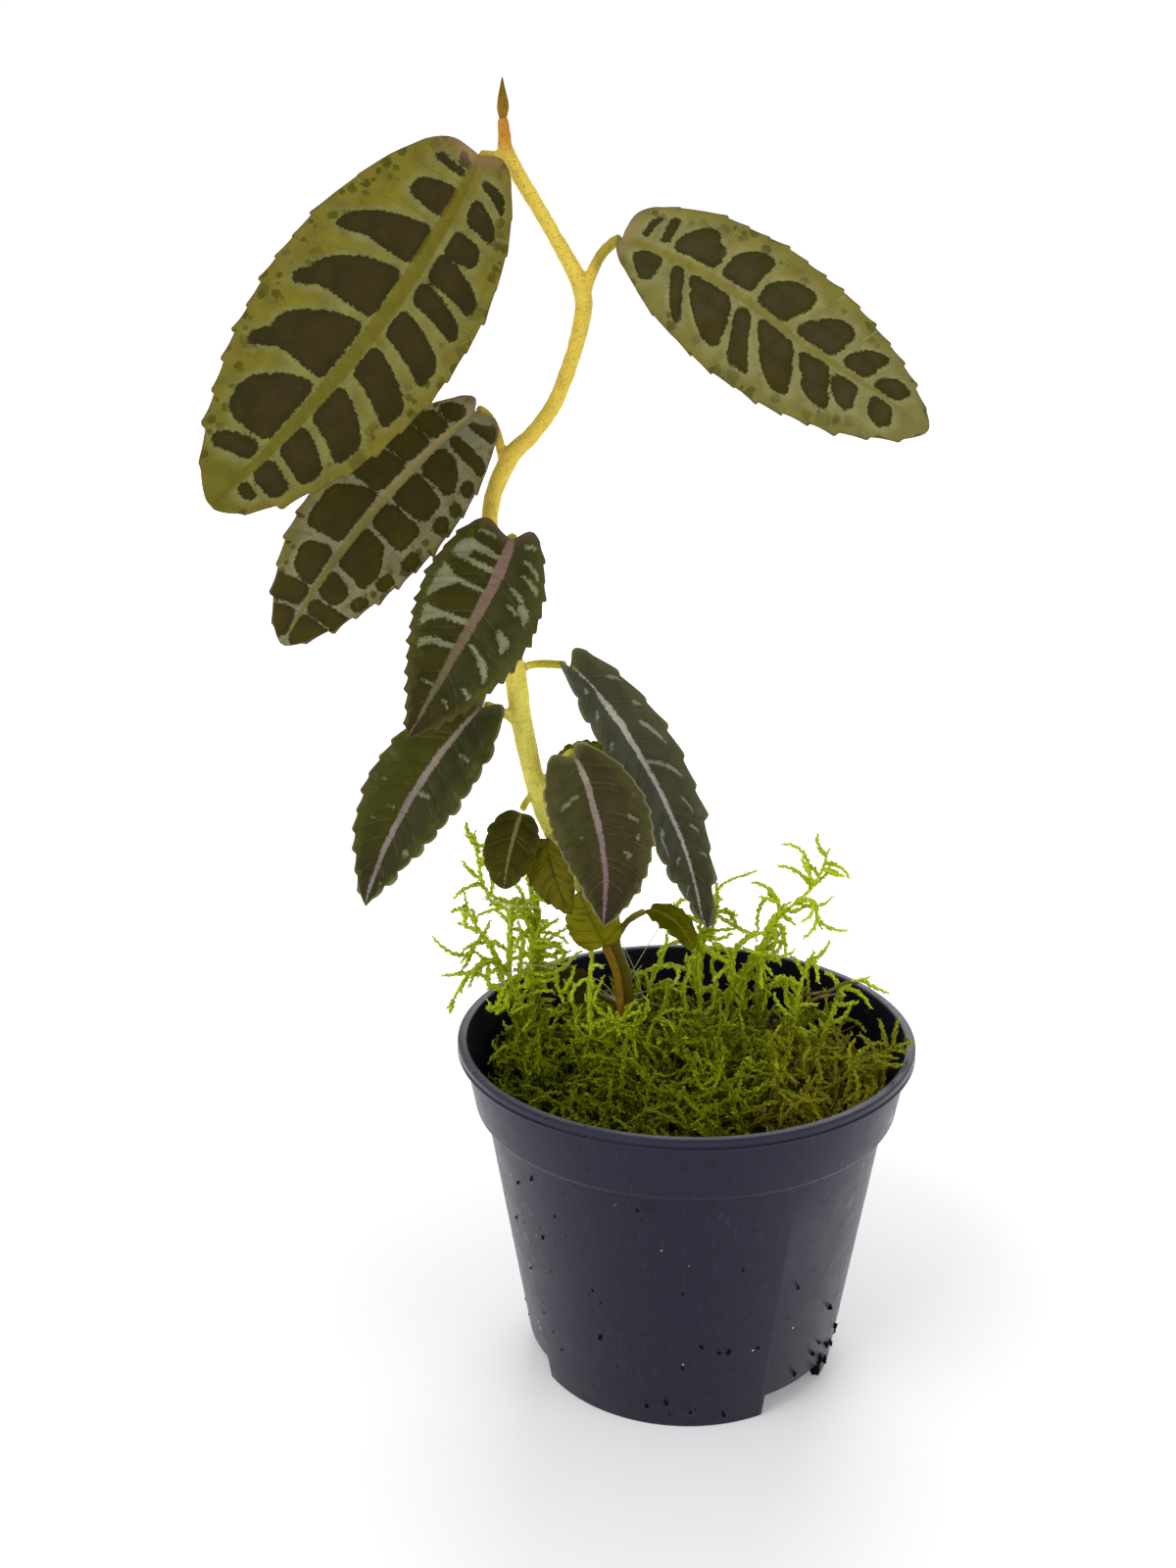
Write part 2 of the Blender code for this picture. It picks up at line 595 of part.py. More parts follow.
def clear_length(points, obstacles):
    """How many of the points, from the root on, stay clear of the obstacles."""
    for i, point in enumerate(points):
        for tree, room in obstacles:
            found = tree.find_nearest(point, room)
            if found[0] is not None:
                return i
            if i:
                middle = (point + points[i - 1]) / 2
                if tree.find_nearest(middle, room)[0] is not None:
                    return i
    return len(points)


def moss_core(clump):
    """A low bumpy dome that lies on the potting mix."""
    bm = bmesh.new()
    bmesh.ops.create_icosphere(bm, subdivisions=2, radius=1)
    for vertex in bm.verts:
        x = (clump.centre[0] + clump.spread[0] * vertex.co.x) * MM
        y = (clump.centre[1] + clump.spread[1] * vertex.co.y) * MM
        level = mix_height(x) + MOSS_GAP
        bump = 1 + 0.12 * math.sin(900 * x + 2) * math.sin(800 * y)
        rise = max(0.0, vertex.co.z + 0.25) / 1.25
        vertex.co = (x, y, level + clump.height * MM * rise * bump)
    bmesh.ops.recalc_face_normals(bm, faces=bm.faces)
    return bm


def moss_profile(helpers):
    """The three-cornered section that every moss shoot has."""
    curve = bpy.data.curves.new("moss_section", "CURVE")
    curve.dimensions = "2D"
    spline = curve.splines.new("POLY")
    spline.points.add(2)
    for i, knot in enumerate(spline.points):
        angle = math.tau * i / 3
        knot.co = (MOSS_RADIUS * math.cos(angle), MOSS_RADIUS * math.sin(angle), 0, 1)
    spline.use_cyclic_u = True
    section = bpy.data.objects.new("moss_section", curve)
    section.hide_render = True
    helpers.objects.link(section)
    return section


def moss_tube(points, section, collection):
    """One shoot, tapering to its tip, as a closed mesh."""
    curve = bpy.data.curves.new("shoot", "CURVE")
    curve.dimensions = "3D"
    curve.bevel_mode = "OBJECT"
    curve.bevel_object = section
    curve.use_fill_caps = True
    curve.resolution_u = 1
    spline = curve.splines.new("POLY")
    spline.points.add(len(points) - 1)
    for i, (knot, point) in enumerate(zip(spline.points, points)):
        knot.co = (*point, 1)
        knot.radius = 1.1 - 0.7 * i / (len(points) - 1)
    guide = bpy.data.objects.new("shoot", curve)
    collection.objects.link(guide)
    mesh = evaluated_mesh(guide)
    bpy.data.objects.remove(guide, do_unlink=True)
    bm = bmesh.new()
    bm.from_mesh(mesh)
    bmesh.ops.remove_doubles(bm, verts=bm.verts, dist=0.00001)
    bmesh.ops.recalc_face_normals(bm, faces=bm.faces)
    return add_object("shoot", mesh_from(bm, "shoot"), collection)


def side_ways(way, rng, obstacles):
    """Short shoots that leave a longer one at its joints."""
    ways = []
    for k in range(1, len(way) - 1):
        if rng.random() > SIDE_SHOOTS_PER_STEP:
            continue
        forward = (way[k + 1] - way[k]).normalized()
        aside = forward.cross(Vector([rng.uniform(-1, 1) for _ in range(3)])).normalized()
        length = rng.uniform(2, 3.4) * MOSS_STEP * (1 - 0.4 * k / len(way))
        side = moss_way(rng, way[k].lerp(way[k + 1], 0.4), forward * 0.5 + aside, length, rng.uniform(0, 0.15))
        side = side[:clear_length(side, obstacles)]
        if len(side) >= 2:
            ways.append(side)
    return ways


def moss_shoots(clump, rng, obstacles):
    """The ways of all of a clump's shoots, each as a list of points that starts inside the clump."""
    ways = []
    for knots in clump.leaders:
        way = leader_way(knots)
        way = way[:clear_length(way, obstacles)]
        if len(way) >= 2:
            ways += [way] + side_ways(way, rng, obstacles)
    for _ in range(clump.shoots):
        angle = rng.uniform(0, math.tau)
        out = math.sqrt(rng.random()) * 0.8
        outward = Vector((out * math.cos(angle), out * math.sin(angle), 0))
        x = (clump.centre[0] + clump.spread[0] * outward.x) * MM
        y = (clump.centre[1] + clump.spread[1] * outward.y) * MM
        dome = math.sqrt(1 - out * out)
        root = Vector((x, y, mix_height(x) + (0.5 + 0.4 * clump.height * dome) * MM))
        loose = Vector([rng.uniform(-1, 1) for _ in range(3)]) * clump.scatter * 0.5
        heading = Vector(clump.heading) + outward * clump.scatter + loose
        heading.z = max(heading.z, 0.3)
        way = moss_way(rng, root, heading, rng.uniform(*clump.shoot_length) * MM, rng.uniform(0.0, 0.12))
        way = way[:clear_length(way, obstacles)]
        if len(way) >= 3:
            ways += [way] + side_ways(way, rng, obstacles)
    return ways


def tree_of(obj):
    """A search tree of the object's surface, in world space."""
    bm = bmesh.new()
    mesh = evaluated_mesh(obj)
    bm.from_mesh(mesh)
    bm.transform(obj.matrix_world)
    tree = BVHTree.FromBMesh(bm)
    bm.free()
    return tree


def keep_largest_body(obj):
    """Drops the scraps that a union can leave."""
    bm = bmesh.new()
    bm.from_mesh(obj.data)
    bodies = []
    waiting = set(bm.verts)
    while waiting:
        body = {waiting.pop()}
        edge_of_body = list(body)
        while edge_of_body:
            vertex = edge_of_body.pop()
            for edge in vertex.link_edges:
                other = edge.other_vert(vertex)
                if other in waiting:
                    waiting.discard(other)
                    body.add(other)
                    edge_of_body.append(other)
        bodies.append(body)
    largest = max(bodies, key=len)
    bmesh.ops.delete(bm, geom=[v for v in bm.verts if v not in largest], context="VERTS")
    bm.to_mesh(obj.data)
    bm.free()


def build_moss(parts, helpers, tubes, materials, plant, pot):
    """Each clump is grown clear of the plant and of the clumps before it, then joined to one body."""
    section = moss_profile(helpers)
    rng = random.Random(MOSS_SEED)
    obstacles = [(tree_of(obj), CLEAR_OF_PLANT) for obj in plant] + [(tree_of(pot), CLEAR_OF_POT)]
    cores = [(clump, moss_core(clump)) for clump in CLUMPS]
    core_trees = {clump.name: BVHTree.FromBMesh(bm) for clump, bm in cores}
    for clump, bm in cores:
        others = [(tree, CLEAR_OF_PLANT) for name, tree in core_trees.items() if name != clump.name]
        moss = add_object(clump.name, mesh_from(bm, clump.name), parts, materials[clump.colour])
        if clump.name == "moss_cushion":
            cut_stem_holes(moss, tubes, MOSS_HOLE_GAP)
        for way in moss_shoots(clump, rng, obstacles + others):
            moss_tube(way, section, tubes)
        cut(moss, tubes, "UNION", "MANIFOLD")
        keep_largest_body(moss)
        obstacles.append((tree_of(moss), CLEAR_OF_PLANT))
    bpy.data.objects.remove(section, do_unlink=True)


def main():
    clear_scene()
    scene = bpy.context.scene
    parts, helpers, tubes = (bpy.data.collections.new(name) for name in ("potted_labisia", "helpers", "tubes"))
    for collection in (parts, helpers, tubes):
        scene.collection.children.link(collection)
    materials = make_materials()
    pot = build_pot(parts, helpers, materials)
    build_mix(parts, helpers, materials)
    stem, basal = build_shoot(parts, helpers, materials)
    blades = [build_blade(blade, parts, materials) for blade in BLADES]
    build_bud(parts, materials)
    build_moss(parts, helpers, tubes, materials, [stem, basal, *blades], pot)


main()
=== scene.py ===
"""Dresses the potted labisia: fine leaves, stem, pot, potting mix and moss on the fixed CAD frame.

Lengths are millimetres and MM turns them into metres. +Z is up, and -Y is the front of the plant.
"""

import sys

import json
import logging
import math
import random
from dataclasses import dataclass, field
from enum import Enum
from typing import NamedTuple, Sequence

import bmesh
import bpy
import numpy as np
from mathutils import Matrix, Vector, noise
from mathutils.bvhtree import BVHTree

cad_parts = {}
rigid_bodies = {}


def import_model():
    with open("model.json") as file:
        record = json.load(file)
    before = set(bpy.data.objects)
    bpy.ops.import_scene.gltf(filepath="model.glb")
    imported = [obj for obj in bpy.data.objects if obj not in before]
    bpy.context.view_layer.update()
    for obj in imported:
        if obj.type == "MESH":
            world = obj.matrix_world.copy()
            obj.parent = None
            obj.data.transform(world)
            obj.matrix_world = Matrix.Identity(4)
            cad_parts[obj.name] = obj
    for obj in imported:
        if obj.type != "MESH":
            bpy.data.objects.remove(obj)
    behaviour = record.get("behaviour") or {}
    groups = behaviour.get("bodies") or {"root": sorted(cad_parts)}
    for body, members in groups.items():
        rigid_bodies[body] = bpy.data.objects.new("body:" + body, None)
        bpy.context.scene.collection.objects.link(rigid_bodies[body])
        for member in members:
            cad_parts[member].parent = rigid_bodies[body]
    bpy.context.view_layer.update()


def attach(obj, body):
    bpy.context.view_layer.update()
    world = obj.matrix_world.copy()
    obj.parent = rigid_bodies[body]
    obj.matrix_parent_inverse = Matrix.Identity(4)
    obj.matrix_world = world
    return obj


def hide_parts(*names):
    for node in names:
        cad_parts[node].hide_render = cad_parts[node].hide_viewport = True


MM = 0.001
VEIL = 0.008
DARKEST = 0.0012
LOG = logging.getLogger("potted_labisia")
Colour = tuple[float, float, float]


def paint(red: int, green: int, blue: int) -> Colour:
    """Turns a colour as seen, 0 to 255, into linear values, less the veil of white that it reflects.

    Args:
        red: Its red.
        green: Its green.
        blue: Its blue.

    Returns:
        The linear colour.
    """
    seen = (red / 255, green / 255, blue / 255)
    linear = (c / 12.92 if c < 0.0405 else ((c + 0.055) / 1.055) ** 2.4 for c in seen)
    return tuple(max(DARKEST, c - VEIL) for c in linear)


class Effect(Enum):
    """The effects that several materials share, each a node group."""

    BLOTCH = "Blotch"
    LINE = "Line"
    MOTTLE = "Mottle"
    SPECKS = "Specks"
    GRAIN = "Grain"


class Teeth(Enum):
    """How the margin of a blade is toothed."""

    HOOKS = "low teeth that point to the tip"
    SAW = "sharp teeth"
    LOBES = "rounded lobes"


class Wire:
    """A value in a shader tree. Its sums, differences and products are Math nodes."""

    def __init__(self, graph: "Graph", socket: bpy.types.NodeSocket) -> None:
        """Keeps the graph, and the socket that the value comes from."""
        self.graph = graph
        self.socket = socket

    def __add__(self, other: "float | Wire") -> "Wire":
        """Returns the sum."""
        return self.graph.math("ADD", self, other)

    def __sub__(self, other: "float | Wire") -> "Wire":
        """Returns the difference."""
        return self.graph.math("SUBTRACT", self, other)

    def __mul__(self, other: "float | Wire") -> "Wire":
        """Returns the product."""
        return self.graph.math("MULTIPLY", self, other)

    def __abs__(self) -> "Wire":
        """Returns the value without its sign."""
        return self.graph.math("ABSOLUTE", self)


class Graph:
    """Adds linked nodes to one shader tree."""

    def __init__(self, tree: bpy.types.NodeTree, effects: "EffectShelf | None" = None) -> None:
        """Takes the tree, and the shelf that its effects come from."""
        self.tree = tree
        self.effects = effects

    def feed(self, target: bpy.types.NodeSocket, value: object) -> None:
        """Links a wire to an input, or sets the input to a plain value.

        Args:
            target: The input.
            value: A wire, a number or a colour.
        """
        if isinstance(value, Wire):
            self.tree.links.new(value.socket, target)
        else:
            target.default_value = (*value, 1.0) if target.type == "RGBA" else value

    def add(self, kind: str, inputs: dict | None = None, **settings: object) -> bpy.types.Node:
        """Adds a node.

        Args:
            kind: The node's type.
            inputs: A value or a wire for each named or numbered input.
            settings: The node's own options.

        Returns:
            The new node.
        """
        made = self.tree.nodes.new(kind)
        for name, value in settings.items():
            setattr(made, name, value)
        for key, value in (inputs or {}).items():
            self.feed(made.inputs[key], value)
        return made

    def get(self, kind: str, inputs: dict | None = None, output: int | str = 0, **settings: object) -> Wire:
        """Adds a node and returns one of its outputs."""
        return Wire(self, self.add(kind, inputs, **settings).outputs[output])

    def math(self, operation: str, *values: float | Wire) -> Wire:
        """Returns the result of a Math node."""
        return self.get("ShaderNodeMath", dict(enumerate(values)), operation=operation)

    def mix(self, share: float | Wire, first: Colour | Wire, second: Colour | Wire) -> Wire:
        """Returns a blend of two colours."""
        return self.get("ShaderNodeMix", {0: share, 6: first, 7: second}, 2, data_type="RGBA")

    def scaled(self, vector: Colour | Wire, by: float | Wire) -> Wire:
        """Returns a colour or a place times a number."""
        return self.get("ShaderNodeVectorMath", {0: vector, 3: by}, operation="SCALE")

    def step(self, value: Wire, low: float | Wire, high: float | Wire, start: float = 0.0) -> Wire:
        """Returns a smooth step from start, 0 or 1, at low to the other of the two at high."""
        inputs = {0: value, 1: low, 2: high, 3: start, 4: 1.0 - start}
        return self.get("ShaderNodeMapRange", inputs, interpolation_type="SMOOTHSTEP")

    def noise(self, vector: Wire, scale: float | Wire, detail: float = 3.0) -> Wire:
        """Returns noise from about 0.2 to 0.8."""
        return self.get("ShaderNodeTexNoise", {"Vector": vector, "Scale": scale, "Detail": detail})

    def cloud(self, vector: Wire, scale: float | Wire, detail: float = 3.0) -> Wire:
        """Returns noise from about -0.3 to 0.3."""
        return self.noise(vector, scale, detail) - 0.5

    def attribute(self, name: str, output: str = "Fac") -> Wire:
        """Returns a named value that the mesh carries."""
        return self.get("ShaderNodeAttribute", None, output, attribute_name=name)

    def place(self) -> Wire:
        """Returns the place on the piece in millimetres."""
        return self.scaled(self.get("ShaderNodeTexCoord", None, "Object"), 1 / MM)

    def effect(self, which: Effect, **inputs: object) -> Wire:
        """Places a shared effect, with a value or a wire for its named inputs."""
        return self.get("ShaderNodeGroup", inputs, node_tree=self.effects.group(which))

    def specks(self, vector: Wire, scale: float, size: float, share: float) -> Wire:
        """Places the specks: how close their cells are, their size in a cell, and how many cells have one."""
        return self.effect(Effect.SPECKS, Vector=vector, Scale=scale, Size=size, Share=share)

    def grain(self, height: float | Wire, vector: Wire, scale: float, depth: float) -> Wire:
        """Places the grain on a height."""
        return self.effect(Effect.GRAIN, Height=height, Vector=vector, Scale=scale, Depth=depth)


class EffectShelf:
    """Builds each shared effect once, as a node group with named inputs and one output."""

    kinds = {"vector": "NodeSocketVector", "color": "NodeSocketColor"}

    def __init__(self) -> None:
        """Starts with no groups."""
        self.made: dict[Effect, bpy.types.NodeTree] = {}

    def group(self, which: Effect) -> bpy.types.NodeTree:
        """Returns the group of an effect, and builds it the first time.

        Args:
            which: The effect.

        Returns:
            Its group.
        """
        if which not in self.made:
            builders = {
                Effect.BLOTCH: self.blotch,
                Effect.LINE: self.line,
                Effect.MOTTLE: self.mottle,
                Effect.SPECKS: self.specks,
                Effect.GRAIN: self.grain,
            }
            tree = bpy.data.node_groups.new(which.value, "ShaderNodeTree")
            builders[which](tree)
            self.made[which] = tree
        return self.made[which]

    def start(self, tree: bpy.types.NodeTree, output: str,
              inputs: dict[str, object]) -> tuple[Graph, list[Wire]]:
        """Gives a group its sockets.

        Args:
            tree: The new group.
            output: The name of its output, which is a colour if the name is Color and a number if not.
            inputs: A default for each named input: a number, or "vector" or "color" for its type.

        Returns:
            The graph, and a wire from each input.
        """
        for name, default in inputs.items():
            kind = self.kinds.get(default, "NodeSocketFloat")
            socket = tree.interface.new_socket(name=name, in_out="INPUT", socket_type=kind)
            if kind == "NodeSocketFloat":
                socket.default_value = default
        kind = self.kinds.get(output.lower(), "NodeSocketFloat")
        tree.interface.new_socket(name=output, in_out="OUTPUT", socket_type=kind)
        graph = Graph(tree)
        entry = graph.add("NodeGroupInput")
        return graph, [Wire(graph, entry.outputs[name]) for name in inputs]

    @staticmethod
    def finish(graph: Graph, result: Wire) -> None:
        """Leads the result out of the group."""
        graph.add("NodeGroupOutput", {0: result})

    def blotch(self, tree: bpy.types.NodeTree) -> None:
        """Builds a mask that is 1 where a distance is above 0, with a ragged edge.

        Args:
            tree: The new group.
        """
        graph, (distance, vector, ragged, scale, softness) = self.start(tree, "Mask", {
            "Distance": 0.0, "Vector": "vector", "Ragged": 0.3, "Scale": 2.0, "Softness": 0.1})
        edge = graph.cloud(vector, scale, 4.0) * ragged + distance
        edge = graph.cloud(vector, scale * 3.5) * 0.8 * ragged + edge
        self.finish(graph, graph.step(edge, softness * -1.0, softness))

    def line(self, tree: bpy.types.NodeTree) -> None:
        """Builds a mask that is 1 along a line, by the distance from it.

        Args:
            tree: The new group.
        """
        graph, (distance, vector, width, fade, ragged, scale) = self.start(tree, "Mask", {
            "Distance": 0.0, "Vector": "vector", "Width": 0.2, "Fade": 0.2, "Ragged": 0.2, "Scale": 2.0})
        edge = graph.cloud(vector, scale, 2.0) * ragged + distance
        self.finish(graph, graph.step(edge, width, width + fade, 1.0))

    def mottle(self, tree: bpy.types.NodeTree) -> None:
        """Builds a colour made lighter and darker in soft clouds with fine grain in them.

        Args:
            tree: The new group.
        """
        graph, (colour, vector, scale, amount, fine) = self.start(tree, "Color", {
            "Color": "color", "Vector": "vector", "Scale": 0.3, "Amount": 0.2, "Fine": 0.1})
        clouds = graph.cloud(vector, scale, 4.0) * 4.0 * amount
        grains = graph.cloud(vector, scale * 14.0, 2.0) * 4.0 * fine
        self.finish(graph, graph.scaled(colour, graph.math("MAXIMUM", clouds + grains + 1.0, 0.15)))

    def specks(self, tree: bpy.types.NodeTree) -> None:
        """Builds a mask of round specks: their size is a share of the cell, and only some cells have one.

        Args:
            tree: The new group.
        """
        graph, (vector, scale, size, share) = self.start(tree, "Mask", {
            "Vector": "vector", "Scale": 1.0, "Size": 0.2, "Share": 0.5})
        cells = graph.add("ShaderNodeTexVoronoi", {"Vector": vector, "Scale": scale}).outputs
        chance = graph.add("ShaderNodeSeparateColor", {0: Wire(graph, cells["Color"])}).outputs
        size = size * (Wire(graph, chance[1]) + 0.35)
        away = graph.cloud(vector, scale * 3.0) * size + Wire(graph, cells["Distance"])
        kept = graph.math("LESS_THAN", Wire(graph, chance[0]), share)
        self.finish(graph, graph.step(away, size * 0.7, size, 1.0) * kept)

    def grain(self, tree: bpy.types.NodeTree) -> None:
        """Builds fine relief in millimetres, added to a height.

        Args:
            tree: The new group.
        """
        graph, (height, vector, scale, depth) = self.start(tree, "Height", {
            "Height": 0.0, "Vector": "vector", "Scale": 2.0, "Depth": 0.1})
        self.finish(graph, graph.noise(vector, scale, 4.0) * depth + height)


@dataclass(frozen=True)
class Finish:
    """What every finish has: its name, the record's slot, and the shader's constant values."""

    name: str
    slot: str
    specular: float = 0.2

    def material(self, effects: EffectShelf) -> bpy.types.Material:
        """Builds the material.

        Args:
            effects: The shelf of shared effects.

        Returns:
            The finished material.
        """
        made = bpy.data.materials.new(self.name)
        made.use_nodes = True
        graph = Graph(made.node_tree, effects)
        shader = made.node_tree.nodes["Principled BSDF"].inputs
        colour, roughness, height = self.surface(graph)
        bump = graph.get("ShaderNodeBump", {"Height": height, "Distance": MM})
        names = ("Specular IOR Level", "Base Color", "Roughness", "Normal")
        for name, value in zip(names, (self.specular, colour, roughness, bump)):
            graph.feed(shader[name], value)
        return made

    def surface(self, graph: Graph) -> tuple[Wire, Wire | float, Wire]:
        """Returns the colour, the roughness and the height in millimetres."""
        raise NotImplementedError


@dataclass(frozen=True)
class LeafFinish(Finish):
    """A blade: ground, markings, midrib, side veins, margin and underside. Colours are as seen, with painted
    light and shade between the two halves.
    """

    specular: float = 0.06
    # The grounds of the right and the left half: their difference is painted light and shade, one half lit
    # and the other turned from the light.
    right: tuple = (109, 102, 43)
    left: tuple = (111, 104, 38)
    end: tuple = (98, 93, 36)
    mark: tuple = (54, 47, 28)
    mark_out: tuple = (48, 44, 16)
    mark_out_from: float = 0.6
    mark_edge: tuple = (46, 44, 18)
    halo: tuple = (117, 114, 68)
    halo_share: float = 0.8
    rib: tuple = (97, 90, 30)
    rib_end: tuple = (92, 87, 28)
    rib_share: float = 0.75
    vein: tuple = (120, 117, 66)
    vein_share: float = 0.6
    # margin is the thin line along the edge: the blade's own mauve rim on the olive blades, and a painted rim
    # of light where it is pale on the dark blades.
    margin: tuple = (96, 70, 54)
    margin_share: float = 0.5
    outer: tuple = (105, 97, 42)
    outer_share: float = 0.6
    foot: tuple = (142, 108, 84)
    under: tuple = (104, 86, 46)
    fleck: tuple = (66, 66, 12)
    fleck_share: float = 0.34
    ragged: float = 1.1
    soft: float = 0.12

    def surface(self, graph: Graph) -> tuple[Wire, Wire, Wire]:
        """Paints the blade by the values that its mesh carries.

        Args:
            graph: The material's graph.

        Returns:
            The colour, the roughness and the height in millimetres.
        """
        plan = graph.attribute("plan", "Vector")
        along, inside = graph.attribute("along"), graph.attribute("mark")
        cloud = graph.cloud(plan, 0.35)
        marked = graph.effect(Effect.BLOTCH, Distance=inside, Vector=plan, Ragged=self.ragged, Scale=1.7,
                              Softness=self.soft)
        groove = graph.effect(Effect.LINE, Distance=graph.attribute("vein"), Vector=plan, Width=0.14,
                              Fade=0.22, Ragged=0.3, Scale=0.8)
        rib = graph.effect(Effect.BLOTCH, Distance=graph.attribute("rib"), Vector=plan, Ragged=0.8, Scale=1.6,
                           Softness=0.16) * self.rib_share
        rib_colour = graph.mix(graph.step(along, 0.1, 0.75), paint(*self.rib), paint(*self.rib_end))
        broken = graph.step(graph.noise(plan, 0.4), 0.42, 0.6)
        bare = marked * -0.85 + 1.0
        body = graph.mix(marked, self.ground(graph, plan, cloud), self.marking(graph, cloud))
        body = graph.mix(groove * broken * (bare * self.vein_share), body, paint(*self.vein))
        body = graph.mix(rib, body, rib_colour)
        body = graph.mix(graph.step(along, 0.0, 0.06, 1.0) * 0.55, body, paint(*self.foot))
        below = graph.mix(marked * 0.3, paint(*self.under), paint(*self.mark))
        below = graph.mix(groove * 0.35, below, paint(*self.vein))
        below = graph.mix(rib * 0.75, below, rib_colour)
        body = graph.mix(graph.attribute("under"), body, below)
        edge = graph.effect(Effect.LINE, Distance=graph.attribute("edge"), Vector=plan, Width=0.12, Fade=0.35,
                            Ragged=0.3, Scale=0.5)
        # The edge line: the blade's own rim colour, and on the dark blades a painted rim of light.
        body = graph.mix(edge * self.margin_share, body, paint(*self.margin))
        body = graph.effect(Effect.MOTTLE, Color=body, Vector=plan, Scale=0.28, Amount=0.2, Fine=0.12)
        glint = graph.specks(plan, 2.2, 0.35, 0.10)
        roughness = graph.noise(plan, 1.2) * 0.25 + 0.38 - glint * 0.2
        height = graph.grain(groove * -0.16 + glint * 0.05, plan, 4.5, 0.12)
        return body, roughness, graph.grain(height, plan, 0.9, 0.2)

    def ground(self, graph: Graph, plan: Wire, cloud: Wire) -> Wire:
        """Paints the green between the markings, with painted light and shade between the blade's two halves.

        Args:
            graph: The material's graph.
            plan: The place on the flat blade.
            cloud: Soft noise.

        Returns:
            The colour.
        """
        across = graph.attribute("across")
        aside = abs(across)
        # Painted light and shade: each half of the blade gets its own ground.
        ground = graph.mix(graph.step(across, -0.12, 0.12), paint(*self.left), paint(*self.right))
        ground = graph.mix(graph.step(graph.attribute("along"), 0.45, 1.0), ground, paint(*self.end))
        near_mark = graph.step(cloud * 3.0 + graph.attribute("mark"), -2.2, -0.2)
        ground = graph.mix(near_mark * self.halo_share, ground, paint(*self.halo))
        paler = graph.step(cloud * 0.5 + aside, 0.58, 0.98)
        ground = graph.mix(paler * self.outer_share, ground, paint(*self.outer))
        large = graph.specks(plan, 0.34, 0.5, self.fleck_share) * 0.6
        flecks = graph.math("MAXIMUM", graph.specks(plan, 0.62, 0.55, self.fleck_share), large)
        return graph.mix(flecks * graph.step(aside, 0.55, 0.85) * 0.8, ground, paint(*self.fleck))

    def marking(self, graph: Graph, cloud: Wire) -> Wire:
        """Paints the markings: one colour near the midrib, one farther out, and one at their edge.

        Args:
            graph: The material's graph.
            cloud: Soft noise.

        Returns:
            The colour.
        """
        aside = abs(graph.attribute("across"))
        out = graph.step(cloud * 0.9 + aside, self.mark_out_from - 0.15, self.mark_out_from + 0.2)
        heart = graph.step(cloud * 1.6 + graph.attribute("mark"), 0.0, 1.5)
        middle = graph.mix(out, paint(*self.mark), paint(*self.mark_out))
        return graph.mix(heart, paint(*self.mark_edge), middle)


@dataclass(frozen=True)
class StemFinish(Finish):
    """A living stem: yellow above, greener below, with rows of brown scurf."""

    top: Colour = paint(214, 188, 76)
    middle: Colour = paint(231, 223, 102)
    low: Colour = paint(88, 82, 12)
    leafstalk: Colour = paint(146, 133, 44)
    leafstalk_low: Colour = paint(176, 170, 38)
    crown: Colour = paint(168, 116, 40)
    dot: Colour = paint(140, 100, 40)

    def surface(self, graph: Graph) -> tuple[Wire, Wire, Wire]:
        """Colours the stem by its height.

        Args:
            graph: The material's graph.

        Returns:
            The colour, the roughness and the height in millimetres.
        """
        place = graph.place()
        height = graph.get("ShaderNodeSeparateXYZ", {0: place}, 2)
        colour = graph.mix(graph.step(height, 84.0, 112.0), self.low, self.middle)
        colour = graph.mix(graph.step(height, 126.0, 158.0), colour, self.top)
        colour = graph.mix(graph.step(height, 230.0, 235.0), colour, self.crown)
        aside = graph.step(graph.attribute("reach"), 2.0, 5.0) * graph.step(height, 90.0, 110.0)
        leafstalk = graph.mix(graph.step(height, 150.0, 200.0), self.leafstalk_low, self.leafstalk)
        colour = graph.mix(aside * 0.9, colour, leafstalk)
        colour = graph.effect(Effect.MOTTLE, Color=colour, Vector=place, Scale=0.35, Amount=0.10, Fine=0.12)
        dots = graph.specks(place, 2.8, 0.34, 0.6)
        colour = graph.mix(dots * 0.6, colour, self.dot)
        ring = graph.effect(Effect.LINE, Distance=graph.attribute("joint"), Vector=place, Width=0.05,
                            Fade=0.3, Ragged=0.8, Scale=1.2)
        colour = graph.mix(ring * 0.4, colour, self.dot)
        return colour, graph.noise(place, 1.5) * 0.2 + 0.42, graph.grain(dots * 0.08, place, 1.6, 0.16)


@dataclass(frozen=True)
class PlainFinish(Finish):
    """A mottled natural surface with specks: bud, old petiole, bark, fibres."""

    colour: Colour = paint(30, 20, 13)
    second: Colour = paint(66, 48, 32)
    speck: Colour = paint(96, 76, 54)
    speck_share: float = 0.4
    size: float = 1.0
    relief: float = 0.2
    rough: float = 0.6

    def surface(self, graph: Graph) -> tuple[Wire, Wire, Wire]:
        """Blends two colours by the mesh's tone and a cloud, with specks over them.

        Args:
            graph: The material's graph.

        Returns:
            The colour, the roughness and the height in millimetres.
        """
        place = graph.place()
        close = 0.5 / self.size
        share = graph.cloud(place, close) * 1.6 + graph.attribute("tone")
        colour = graph.mix(graph.step(share, 0.1, 0.9), self.colour, self.second)
        colour = graph.effect(Effect.MOTTLE, Color=colour, Vector=place, Scale=close, Amount=0.2, Fine=0.2)
        specks = graph.specks(place, 1.6 / self.size, 0.35, self.speck_share)
        colour = graph.mix(specks * 0.7, colour, self.speck)
        roughness = graph.noise(place, 1.5) * 0.2 + (self.rough - 0.1)
        return colour, roughness, graph.grain(0.0, place, 1.4 / self.size, self.relief)


